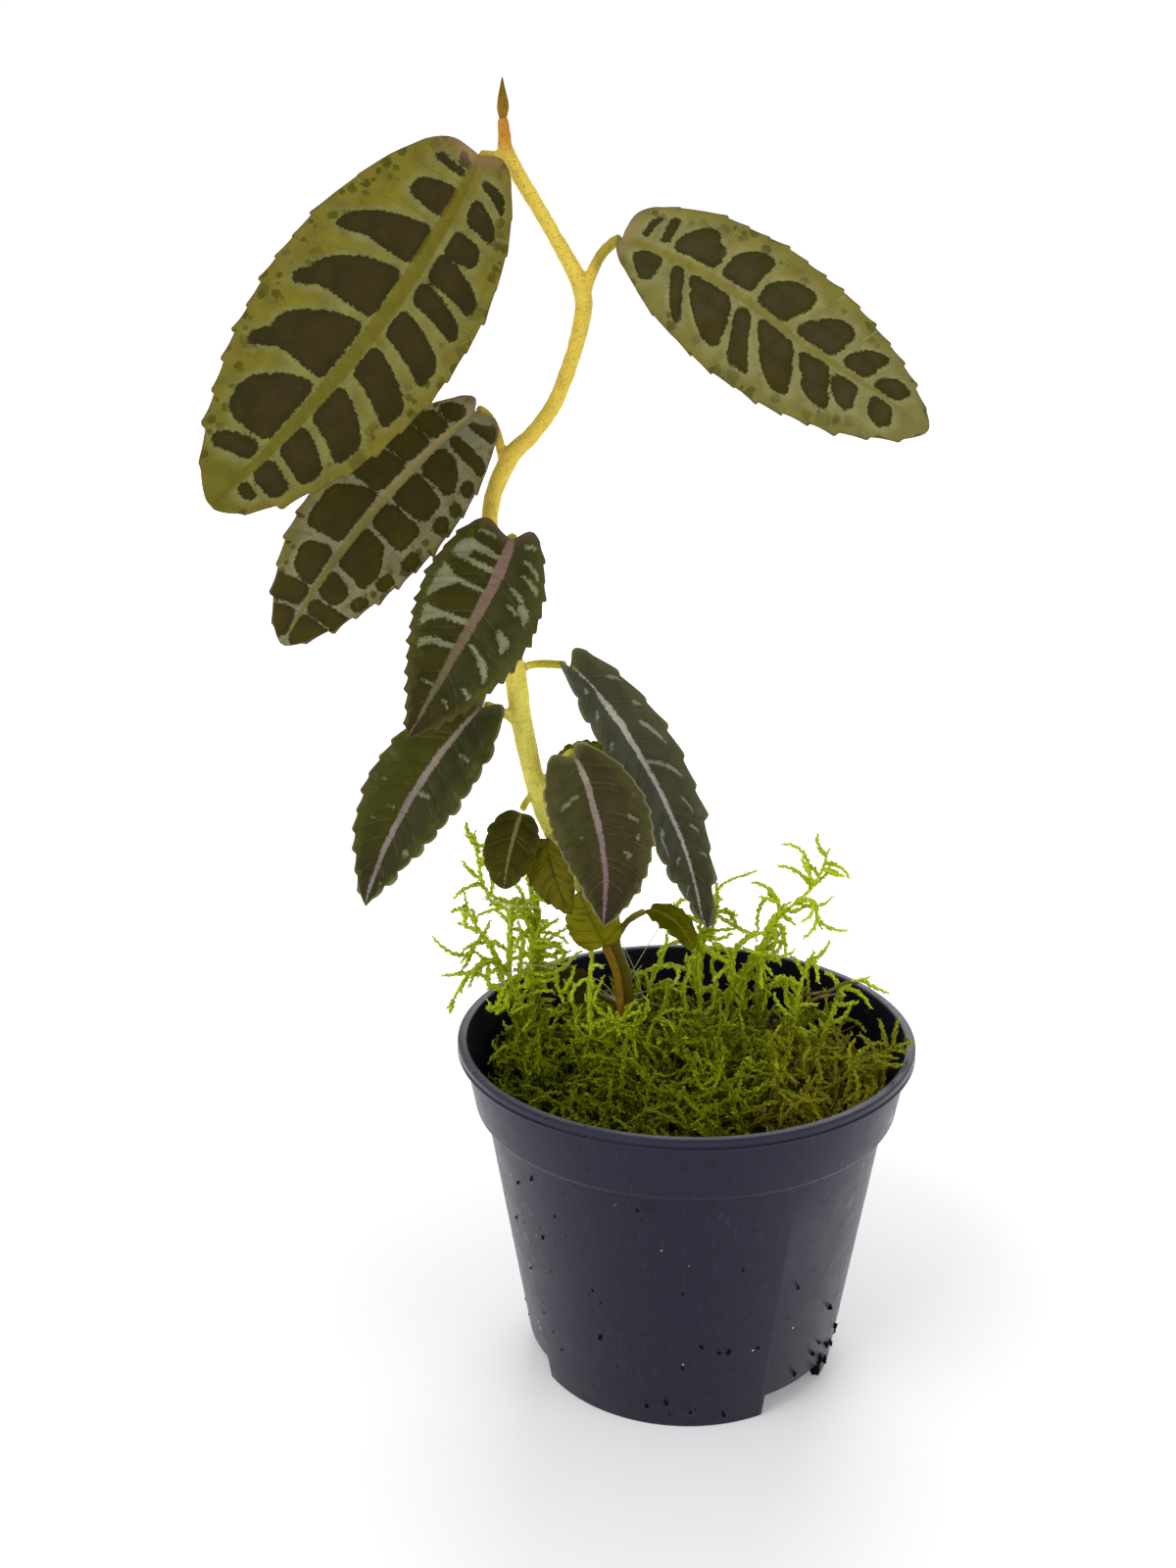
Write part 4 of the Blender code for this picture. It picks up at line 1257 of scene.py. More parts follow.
@dataclass
class PottingMix:
    """The plug of damp mix: a rough top strewn with bark and crumbs over a plain body."""

    pot: NurseryPot
    level: float = 52.0
    rise: float = 0.055
    gap: float = 0.35
    rings: int = 34
    sides: int = 120

    def height(self, x: float) -> float:
        """The mix lies a little higher on the right."""
        return self.level + self.rise * x

    def build(self) -> bpy.types.Object:
        """Builds the plug, with its top displaced and bark and crumbs strewn on it.

        Returns:
            The piece.
        """
        pot = self.pot
        top = pot.wall_radius(self.level) - pot.wall - self.gap - 0.4
        floor = pot.roof + pot.wall + self.gap
        low = pot.wall_radius(floor) - pot.wall - self.gap
        profile = [(top * i / self.rings, self.level) for i in range(self.rings + 1)]
        profile += [(top, self.level - 1.5), ((top + low) / 2, (self.level + floor) / 2), (low, floor),
                    (pot.pad - self.gap, floor), (pot.pad - pot.wall - self.gap, pot.wall + self.gap),
                    (0, pot.wall + self.gap)]
        plug = lathe("mix_plug", profile, self.sides, {"tone": [0.5] * len(profile)})
        for vertex in plug.data.vertices:
            if vertex.co.z > (self.level - 1) * MM:
                spot = vertex.co / MM
                rough = noise.noise(spot * 0.25) * 1.1 + noise.noise(spot * 0.9) * 0.6 - 0.8
                vertex.co.z += (self.rise * spot.x + rough) * MM
        soup = Soup("tone")
        rng = random.Random(11)
        for _ in range(900):
            angle, out = rng.uniform(0, math.tau), math.sqrt(rng.random()) * (top - 1.5)
            x, y = out * math.cos(angle), out * math.sin(angle)
            size = rng.uniform(0.3, 1.1)
            spot = (x, y, self.height(x) - 0.3 + rng.uniform(-0.2, 0.6))
            body, faces = lump(rng, spot, (size * rng.uniform(1, 2.4), size, size * 0.5))
            soup.add(body, faces, tone=rng.random())
        chips = soup.piece("mix_chips", 25.0)
        return joined("mix", [plug, chips])


def joined(name: str, pieces: Sequence[bpy.types.Object]) -> bpy.types.Object:
    """Joins pieces into one.

    Args:
        name: The name of the result.
        pieces: The pieces, all in place without a transform of their own.

    Returns:
        The one piece.
    """
    with bpy.context.temp_override(active_object=pieces[0], selected_editable_objects=list(pieces)):
        bpy.ops.object.join()
    pieces[0].name = pieces[0].data.name = name
    return pieces[0]


@dataclass
class Shoot:
    """The stem with its petioles, the old basal petiole, and the bud."""

    way: tuple = (
        (-11.4, 6.5, 36.0, 1.5), (-11.5, 6.5, 52.0, 1.65), (-11.8, 6.1, 68.0, 1.65),
        (-13.0, 4.7, 80.6, 1.65), (-19.2, 1.9, 96.1, 1.65), (-23.8, 0.4, 105.7, 1.75),
        (-27.9, -1.2, 116.0, 1.9), (-31.2, -2.0, 131.8, 2.1), (-32.3, -2.0, 141.0, 2.1),
        (-35.0, -0.3, 155.0, 1.8), (-36.9, 2.0, 170.0, 1.6), (-33.3, 3.0, 180.2, 1.75),
        (-29.0, 3.4, 184.6, 1.55), (-24.4, 3.0, 191.1, 1.5), (-20.2, 1.6, 202.6, 1.5),
        (-19.8, 1.0, 210.0, 1.6), (-25.0, -1.2, 220.0, 1.3), (-31.6, -2.9, 231.2, 1.4),
        (-32.4, -3.0, 235.0, 1.1), (-32.6, -3.0, 237.6, 0.9),
    )
    roots: dict = field(default_factory=lambda: {
        "leaf_top_left": ((-32.4, -3, 231.5), 0.0, 1), "leaf_top_right": ((-19.9, 1, 205.0), 0.36, 1),
        "leaf_upper_left": ((-34.0, 3, 179.5), 0.1, 1), "leaf_middle": ((-35.8, 0, 160), 0.1, 1),
        "leaf_lower_right": ((-32.3, -2, 141.0), 0.3, 1), "leaf_lower_left": ((-31.4, -2, 131.0), 0.1, 1),
        "leaf_front": ((-28.2, -1.3, 117.0), 0.0, 1), "leaf_behind": ((-28.6, -1.3, 119.5), 0.1, 1),
        "leaf_small_left": ((-28.6, -1, 119.5), -0.1, 0), "leaf_small_middle": ((-26.0, 0, 111.0), 0.1, 1),
        "leaf_basal_left": ((-12.9, 2.7, 52.0), 0.3, 0), "leaf_basal_right": ((-14.2, 4, 85.0), 0.3, 1),
        "leaf_old_low": ((-12.0, 5.9, 69.5), 0.2, 1),
    })
    basal: str = "leaf_basal_left"
    sink: float = 16.0
    radius: float = 1.0
    voxel: float = 0.27
    bud_length: float = 6.9
    bud_radius: float = 1.05

    def petiole(self, blade: Blade) -> np.ndarray:
        """The line of a petiole from inside the stem to its blade, with its radius.

        Args:
            blade: The blade that it carries.

        Returns:
            Points with their radii.
        """
        root, lift, level = self.roots[blade.name]
        base, _, normal, bow, _ = blade.axes()
        along = unit(bow - base)
        end = base - along * 0.5 - (normal * 1.1 if level else 0)
        root = np.array(root, float)
        reach = np.linalg.norm(end - root)
        aside = unit(np.array([root[0] - end[0], root[1] - end[1], 0.0]))
        arrive = aside - 0.8 * normal if level else -along
        meet = end + 0.35 * reach * unit(arrive)
        leave = root + (end - root) * 0.2 + np.array([0, 0, lift * reach])
        if blade.name == self.basal:
            root = root - np.array([0, 0, self.sink])
        t = np.linspace(0, 1, max(8, round(reach / 0.8)))[:, None]
        line = root * (1 - t) ** 3 + leave * 3 * t * (1 - t) ** 2 + meet * 3 * t ** 2 * (1 - t) + end * t ** 3
        big = 0.6 + 0.4 * min(1, blade.width / 26)
        swell = 1.0 + 0.35 * np.exp(-t / 0.08)
        return np.concatenate([line, self.radius * big * swell], axis=1)

    def build_stem(self, blades: Sequence[Blade]) -> bpy.types.Object:
        """Grows the stem and its petioles as one skin.

        Args:
            blades: All the blades.

        Returns:
            The piece, with how far each point is from the stem's line and from a joint.
        """
        line = smooth_way(self.way, 0.8)
        tubes = [line] + [self.petiole(blade) for blade in blades if blade.name != self.basal]
        soup = Soup()
        for tube in tubes:
            soup.add(*sweep(tube[:, :3], tube[:, 3], 20))
        stem = soup.piece("stem_skin")
        remesh = stem.modifiers.new("one skin", "REMESH")
        remesh.mode = "VOXEL"
        remesh.voxel_size = self.voxel * MM
        soften = stem.modifiers.new("soften", "SMOOTH")
        soften.factor = 0.6
        soften.iterations = 4
        mesh = settled(stem).data
        places = np.empty(len(mesh.vertices) * 3)
        mesh.vertices.foreach_get("co", places)
        places = places.reshape(-1, 3) / MM
        reach = np.full(len(places), 99.0)
        for spot in line[::2]:
            reach = np.minimum(reach, np.linalg.norm(places - spot[:3], axis=1))
        joint = np.full(len(places), 99.0)
        for name, (root, _, _) in self.roots.items():
            if name != self.basal:
                joint = np.minimum(joint, np.linalg.norm(places - np.array(root), axis=1))
        normals = np.empty(len(mesh.vertices) * 3)
        mesh.vertices.foreach_get("normal", normals)
        rough = np.array([noise.noise(Vector(p) * 0.55) * 0.10 + noise.noise(Vector(p) * 1.9) * 0.05
                          for p in places])
        places += normals.reshape(-1, 3) * (rough - 0.03)[:, None]
        mesh.vertices.foreach_set("co", (places * MM).ravel())
        joint = np.where(reach > 2.2, np.abs(joint - 2.7), 9.0)
        for key, numbers in (("reach", reach), ("joint", joint)):
            layer = mesh.attributes.new(key, "FLOAT", "POINT")
            layer.data.foreach_set("value", numbers.astype(np.float32))
        mesh.shade_smooth()
        return stem

    def build_basal(self, blades: Sequence[Blade]) -> bpy.types.Object:
        """Builds the old petiole that rises beside the stem, a little ridged.

        Args:
            blades: All the blades.

        Returns:
            The piece.
        """
        blade = next(b for b in blades if b.name == self.basal)
        line = self.petiole(blade)
        points, faces = sweep(line[:, :3], line[:, 3], 20)
        rough = np.array([noise.noise(Vector((p[0] * 1.5, p[1] * 1.5, p[2] * 0.3))) for p in points])
        centre = np.repeat(line[:, :3], 20, axis=0)
        points[:-2] = centre + (points[:-2] - centre) * (1 + 0.15 * rough[:-2, None])
        soup = Soup("tone")
        soup.add(points, faces, tone=np.clip((points[:, 2] - 60) / 50, 0, 1))
        return soup.piece("basal_petiole_skin")

    def build_bud(self) -> bpy.types.Object:
        """A narrow bud of folded young leaves, with the edges of the folds winding round it.

        Returns:
            The piece.
        """
        swell = ((0.0, 0.5), (0.06, 0.62), (0.15, 0.8), (0.28, 0.98), (0.4, 0.96), (0.55, 0.76), (0.7, 0.52),
                 (0.82, 0.34), (0.92, 0.2), (0.97, 0.1))
        shares = smooth_way([(0, w * self.bud_radius, t * self.bud_length) for t, w in swell], 0.12)
        profile = [(0.0, self.bud_length)] + [(p[1], p[2]) for p in shares[::-1]] + [(0.0, 0.0)]
        bud = lathe("bud_skin", profile, 40, {"tone": [p[1] / self.bud_length for p in profile]})
        for vertex in bud.data.vertices:
            angle = math.atan2(vertex.co.y, vertex.co.x) + vertex.co.z / MM * 0.35
            fold = 0.84 + 0.16 * abs(math.sin(1.5 * angle)) ** 0.5
            vertex.co.x *= fold
            vertex.co.y *= fold
        foot = Vector(self.way[-1][:3]) - Vector((0, 0, 0.35))
        bud.data.transform(Matrix.Translation(foot * MM))
        return bud


@dataclass(frozen=True)
class Clump:
    """One clump of moss: where it lies, its long leading shoots, and how its other shoots grow.

    Leaders are places in millimetres. Strands are traced as the camera sees them: column, row and depth.
    Those of the surface are column, row and level.
    """

    node: str
    centre: tuple
    spread: tuple
    height: float
    leaders: tuple
    shoots: int
    length: tuple
    heading: tuple
    scatter: float
    dry: float = 0.0
    tones: tuple = (0.1, 0.75)
    leader_tone: float = 0.9
    side_every: float = 2.6
    leader_thick: float = 0.42
    # How much darker towards the front and the left the clump's shoots are painted, as shade, and how much
    # drier its front is.
    painted_shade_and_dryness: float = 0.0
    strands: tuple = ()
    surface: tuple = ()


@dataclass
class MossBed:
    """Live moss: winding ropes of small close leaves, grown clear of the plant and the pot."""

    pot: NurseryPot
    mix: PottingMix
    plant: list
    wall: list
    view: "Studio"
    clearance: float = 1.15
    wall_clearance: float = 0.75
    reach: float = 43.6
    step: float = 1.2
    leaf_length: float = 0.92
    leaf_width: float = 0.74
    leaf_every: float = 0.7

    def keep_in_pot(self, point: np.ndarray) -> np.ndarray:
        """Bends a point of a shoot clear of the pot's wall and lip.

        Args:
            point: The point.

        Returns:
            Where the point lies now.
        """
        pot = self.pot
        x, y, z = point
        radius = math.hypot(x, y)
        if z < pot.height + 1.2:
            free = pot.wall_radius(min(z, pot.collar_foot)) - pot.wall - 1.2
            if z > pot.collar_foot + pot.wall:
                free = pot.collar_low - pot.wall - 1.2
            if radius > free:
                if z > pot.height - 4 and radius > free + 1:
                    z = pot.height + 1.4
                else:
                    x, y = x * free / radius, y * free / radius
        low = self.mix.height(x) + 0.6
        return np.array([min(x, self.reach), np.clip(y, -self.reach, self.reach), max(z, low)])

    @staticmethod
    def loose(rng: random.Random) -> np.ndarray:
        """A random direction, longer or shorter."""
        return np.array([rng.gauss(0, 0.6) for _ in range(3)])

    def wander(self, rng: random.Random, root: np.ndarray, heading: np.ndarray, length: float, curl: float,
               droop: float) -> np.ndarray:
        """The way of one winding shoot.

        Args:
            rng: The source of its turns.
            root: Where it starts.
            heading: Where it first grows.
            length: How far it grows in millimetres.
            curl: How fast it winds to one side.
            droop: How fast it bends down.

        Returns:
            Points one step apart.
        """
        points = [root]
        direction = heading / np.linalg.norm(heading)
        axis = np.cross(direction, self.loose(rng))
        axis /= np.linalg.norm(axis)
        for _ in range(max(3, round(length / self.step))):
            direction = direction + curl * np.cross(axis, direction) + 0.06 * self.loose(rng)
            direction[2] -= droop
            direction /= np.linalg.norm(direction)
            point = self.keep_in_pot(points[-1] + direction * self.step)
            if np.linalg.norm(point - points[-1]) < 0.4:
                break
            points.append(point)
        return np.array(points)

    def clear(self, points: np.ndarray) -> np.ndarray:
        """Cuts a shoot off where it would touch the plant or the pot.

        Args:
            points: The shoot's points.

        Returns:
            The points before that place.
        """
        gaps = [(tree, self.clearance * MM) for tree in self.plant]
        gaps += [(tree, self.wall_clearance * MM) for tree in self.wall]
        for i, point in enumerate(points):
            spot = Vector(point) * MM
            if any(tree.find_nearest(spot, gap)[0] is not None for tree, gap in gaps):
                return points[:i]
        return points

    def grow(self, soup: Soup, way: np.ndarray, thick: float, tones: tuple, dry: float,
             rng: random.Random) -> None:
        """Adds one shoot to the moss: its stem and the small pointed leaves that clothe it.

        Args:
            soup: The clump's mesh.
            way: The shoot's line.
            thick: The stem's radius, to which the leaves' size keeps.
            tones: How bright it is at its foot and at its tip.
            dry: How dry it is.
            rng: The source of small differences.
        """
        if len(way) < 3:
            return
        line = smooth_way(way, 1.2)
        share = np.linspace(0, 1, len(line))
        body, faces = sweep(line, thick * (1 - 0.55 * share ** 2), 5)
        tone = tones[0] + (tones[1] - tones[0]) * share
        soup.add(body, faces, tone=np.concatenate([np.repeat(tone, 5), tone[[0, -1]]]) - 0.04, dry=dry)
        spots = smooth_way(way, self.leaf_every)
        count = len(spots)
        share = np.linspace(0, 1, count)
        along = np.gradient(spots, axis=0)
        along /= np.linalg.norm(along, axis=1)[:, None]
        first = np.cross(along, np.array([0.31, 0.77, 0.55]))
        first /= np.linalg.norm(first, axis=1)[:, None]
        second = np.cross(along, first)
        size = min(1.4, 0.5 + thick / 0.5) * (1 - 0.35 * share ** 3)
        for whorl in range(2):
            angle = np.arange(count) * 2.4 + whorl * 2.9 + rng.uniform(0, 6)
            out = np.cos(angle)[:, None] * first + np.sin(angle)[:, None] * second
            loose = np.random.default_rng(rng.randrange(10 ** 6)).uniform(0.7, 1.3, (count, 2))
            lean = (0.22 * loose[:, 1] ** 2 + 0.5 * share ** 18)[:, None]
            ahead = along * np.cos(lean) + out * np.sin(lean)
            wide = np.cross(along, out)
            reach = (self.leaf_length * size * loose[:, 0])[:, None]
            flat = (self.leaf_width * size)[:, None]
            foot = spots + out * (0.75 * thick * (1 - 0.55 * share ** 2))[:, None]
            corners = np.stack([foot + wide * flat / 2, foot - wide * flat / 2, foot + ahead * reach,
                                foot + ahead * reach * 0.4 + out * flat * 0.35], 1)
            index = np.arange(count)[:, None] * 4
            blocks = [index + np.array(f) for f in ((1, 2, 3), (2, 0, 3), (0, 2, 1))]
            tone = tones[0] + (tones[1] - tones[0]) * share
            shades = np.stack([tone - 0.10, tone - 0.10, tone + 0.16, tone + 0.05], 1)
            soup.add(corners.reshape(-1, 3), blocks, tone=shades.ravel(), dry=dry)

    def dome(self, soup: Soup, clump: Clump) -> None:
        """Adds the dark heart of a clump, a low rough dome on the mix, partly old growth and partly painted
        shade.

        Args:
            soup: What the moss is gathered in.
            clump: The clump.
        """
        bm = bmesh.new()
        bmesh.ops.create_icosphere(bm, subdivisions=5, radius=1)
        points = []
        for vertex in bm.verts:
            x = clump.centre[0] + clump.spread[0] * vertex.co.x * 1.02
            y = clump.centre[1] + clump.spread[1] * vertex.co.y * 1.02
            rise = max(0.0, vertex.co.z + 0.2) / 1.2
            rough = 1 + 0.45 * noise.noise(Vector((x, y, 3)) * 0.35)
            rough += 0.6 * noise.noise(Vector((x, y, 7)) * 1.1)
            z = self.mix.height(x) + 0.2 + clump.height * 0.60 * rise * rough
            points.append(self.keep_in_pot(np.array([x, y, z])))
        faces = np.array([[v.index for v in face.verts] for face in bm.faces])
        bm.free()
        # The dome takes the darkest tone, in part as painted shade under the shoots.
        soup.add(np.array(points), [faces], tone=0.05, dry=clump.dry)

    def branch(self, soup: Soup, way: np.ndarray, at: int, length: float, tones: tuple, dry: float,
               rng: random.Random) -> None:
        """Adds a short curved branch to a shoot.

        Args:
            soup: The clump's mesh.
            way: The shoot's line.
            at: The point of the line that it grows from.
            length: Its length in millimetres.
            tones: How bright it is at its foot and at its tip.
            dry: How dry it is.
            rng: The source of its shape.
        """
        forward = unit(way[at + 1] - way[at])
        aside = unit(np.cross(forward, self.loose(rng)))
        heading = forward * rng.uniform(0.4, 1.0) + aside
        line = self.wander(rng, way[at], heading, length, rng.uniform(0.1, 0.32), rng.uniform(-0.02, 0.06))
        self.grow(soup, self.clear(line), rng.uniform(0.27, 0.37), tones, dry, rng)

    def ways(self, clump: Clump) -> list[tuple[Sequence, float]]:
        """Gathers the leading shoots of a clump, the traced ones as the camera sees them.

        Args:
            clump: The clump.

        Returns:
            Each shoot's knots, and how often it branches.
        """
        made = [(knots, 1.5 / clump.side_every) for knots in clump.leaders]
        made += [([self.view.spot(c, r, depth) for c, r, depth in line], 0.28) for line in clump.strands]
        made += [([self.view.spot(c, r, level=z) for c, r, z in line], 0.28) for line in clump.surface]
        return made

    def build(self, clump: Clump, seed: int) -> bpy.types.Object:
        """Grows one clump.

        Args:
            clump: The clump.
            seed: The seed of its shoots.

        Returns:
            The piece.
        """
        rng = random.Random(seed)
        soup = Soup("tone", "dry")
        self.dome(soup, clump)
        low, high = clump.tones
        for knots, often in self.ways(clump):
            way = self.clear(smooth_way(knots, 1.5))
            # Painted shade: leading shoots that end low in the mat are darker.
            painted_shade_by_height = min(1.0, 0.55 + max(0.0, way[-1][2] - 62) / 30) if len(way) else 1.0
            tone = clump.leader_tone * rng.uniform(0.85, 1.05) * painted_shade_by_height
            bright = (tone - 0.15, tone)
            thick = clump.leader_thick * rng.uniform(0.8, 1.2)
            self.grow(soup, way, thick, bright, clump.dry * rng.uniform(0.6, 1.2), rng)
            for at in range(2, len(way) - 1):
                if rng.random() < often:
                    self.branch(soup, way, at, rng.uniform(3, 9), bright, clump.dry, rng)
        for _ in range(clump.shoots):
            angle, out = rng.uniform(0, math.tau), math.sqrt(rng.random()) * 0.98
            outward = np.array([out * math.cos(angle), out * math.sin(angle), 0])
            x = clump.centre[0] + clump.spread[0] * outward[0]
            y = clump.centre[1] + clump.spread[1] * outward[1]
            rise = clump.height * 0.72 * math.sqrt(max(0.0, 1 - out * out))
            root = self.keep_in_pot(np.array([x, y, self.mix.height(x) + rise * rng.uniform(0.4, 1)]))
            heading = np.array(clump.heading) + outward * clump.scatter + self.loose(rng) * clump.scatter
            heading[2] = max(heading[2], 0.12)
            length, curl = rng.uniform(*clump.length), rng.uniform(0.04, 0.26)
            way = self.clear(self.wander(rng, root, heading, length, curl, rng.uniform(0.0, 0.09)))
            # The same weight makes the clump's front drier, which is the moss's own colour.
            edge = max(0.0, min(0.45, (x + 14) / 70)) + clump.painted_shade_and_dryness * max(0.0, min(0.3, (-y - 12) / 55))
            dry = min(1.0, (clump.dry + edge) * rng.uniform(0.5, 1.3))
            # Painted shade: shoots whose ends stay low in the mat get darker tips.
            reach = max(0.0, min(1.0, (way[-1][2] - 56) / 24)) if len(way) else 0
            # Painted shade: shoots towards the front and the left of the clump are darker.
            light = max(0.5, 1 + clump.painted_shade_and_dryness * (0.014 * x + 0.009 * y))
            tones = (light * low * rng.uniform(0.4, 1.2),
                     light * (low + (high - low) * (0.4 + 0.6 * reach) * (0.45 + 0.95 * rng.random() ** 1.2)))
            self.grow(soup, way, rng.uniform(0.28, 0.42), tones, dry, rng)
            if len(way) > 6 and rng.random() < 0.55:
                self.branch(soup, way, rng.randrange(3, len(way) - 2), rng.uniform(3, 6), tones, dry, rng)
        return soup.piece(clump.node + "_live", 80.0)


@dataclass
class Litter:
    """Dead strips, fibres and crumbs in the moss on the right, and pale dry threads over it."""

    bed: MossBed
    centre: tuple = (22.0, -3.0)
    spread: tuple = (14.0, 24.0)
    fibres: int = 150
    crumbs: int = 170
    thread: float = 0.085
    strips: tuple = (
        ((812, 1016, 14), (830, 1014, 12), (847, 1011, 11), (862, 1003, 10), (876, 1003, 9)),
        ((815, 1030, 12), (835, 1018, 10), (858, 1014, 9)),
        ((648, 1030, 10), (662, 1024, 9), (678, 1030, 8), (684, 1042, 7)),
        ((560, 1012, 10), (572, 1016, 9), (588, 1014, 9), (600, 1020, 8)),
    )
    threads: tuple = (
        ((-44.6, 4, 94.8), (-38.5, 2, 94.9), (-32.5, 0, 94.5), (-26.4, 0, 94.6), (-19.9, 0, 96.4)),
        ((-18.7, -4, 95.7), (-15.7, 0, 91.8), (-12.8, 4, 85.7), (-9.8, 8, 76.9), (-8.8, 9, 72.4)),
        ((-14.4, 14, 69), (-12, 14, 73.4), (-7.2, 14, 82.1), (-4.8, 14, 86.5)),
        ((-14.4, 14, 69), (-11.8, 14, 72.6), (-9, 14, 76.7)),
        ((-14.4, 14, 69), (-8.0, 14, 71.0), (-1.9, 14, 73.6)),
        ((-14.4, 14, 69), (-11.0, 14, 68.8), (-7.9, 14, 69.5)),
        ((-14.4, 14, 69), (-16.0, 14, 71.6), (-18, 14, 73.3)),
        ((-14.4, 14, 69), (-20.6, 12, 74.0), (-27.8, 10, 78)),
        ((-18, 14, 73.3), (-26.0, 12, 76.6), (-35.8, 10, 77.8)),
        ((-39.6, 8, 75.4), (-30.6, 8, 78.8), (-24.6, 8, 77.9), (-21.6, 8, 84.3), (-27.5, 8, 85.2)),
    )

    def build(self) -> bpy.types.Object:
        """Strews the litter.

        Returns:
            The piece.
        """
        rng, soup, bed = random.Random(23), Soup("tone"), self.bed
        for knots in self.strips:
            line = smooth_way([bed.view.spot(c, r, depth) for c, r, depth in knots], 0.9)
            share = np.linspace(0, 1, len(line))
            soup.add(*sweep(line, 0.16 + 0.2 * np.sin(math.pi * share) ** 0.6, 8), tone=0.6)
        for i in range(self.fibres + self.crumbs):
            angle, out = rng.uniform(0, math.tau), math.sqrt(rng.random())
            x = self.centre[0] + self.spread[0] * out * math.cos(angle)
            y = self.centre[1] + self.spread[1] * out * math.sin(angle)
            root = bed.keep_in_pot(np.array([x, y, bed.mix.height(x) + rng.uniform(3.0, 8.5)]))
            if i < self.crumbs:
                size = 0.35 + 0.75 * rng.random() ** 2
                body, faces = lump(rng, root, (size * rng.uniform(1, 2), size, size * 0.6))
                soup.add(body, faces, tone=rng.random())
                continue
            heading = bed.loose(rng) * np.array([1, 1, 0.3])
            way = bed.clear(bed.wander(rng, root, heading, rng.uniform(4, 12), rng.uniform(0.02, 0.2), 0.01))
            if len(way) > 2:
                line = smooth_way(way, 1.0)
                radii = np.linspace(1, 0.4, len(line)) * rng.uniform(0.1, 0.24)
                soup.add(*sweep(line, radii, 5), tone=rng.random())
        return soup.piece("moss_litter_bits", 60.0)

    def build_threads(self) -> bpy.types.Object:
        """Lays the pale threads.

        Returns:
            The piece.
        """
        soup = Soup("tone")
        for number, knots in enumerate(self.threads):
            line = smooth_way(knots, 0.7)
            soup.add(*sweep(line, np.full(len(line), self.thread * (0.85 + 0.1 * (number % 4))), 6), tone=0.3)
        return soup.piece("moss_threads")


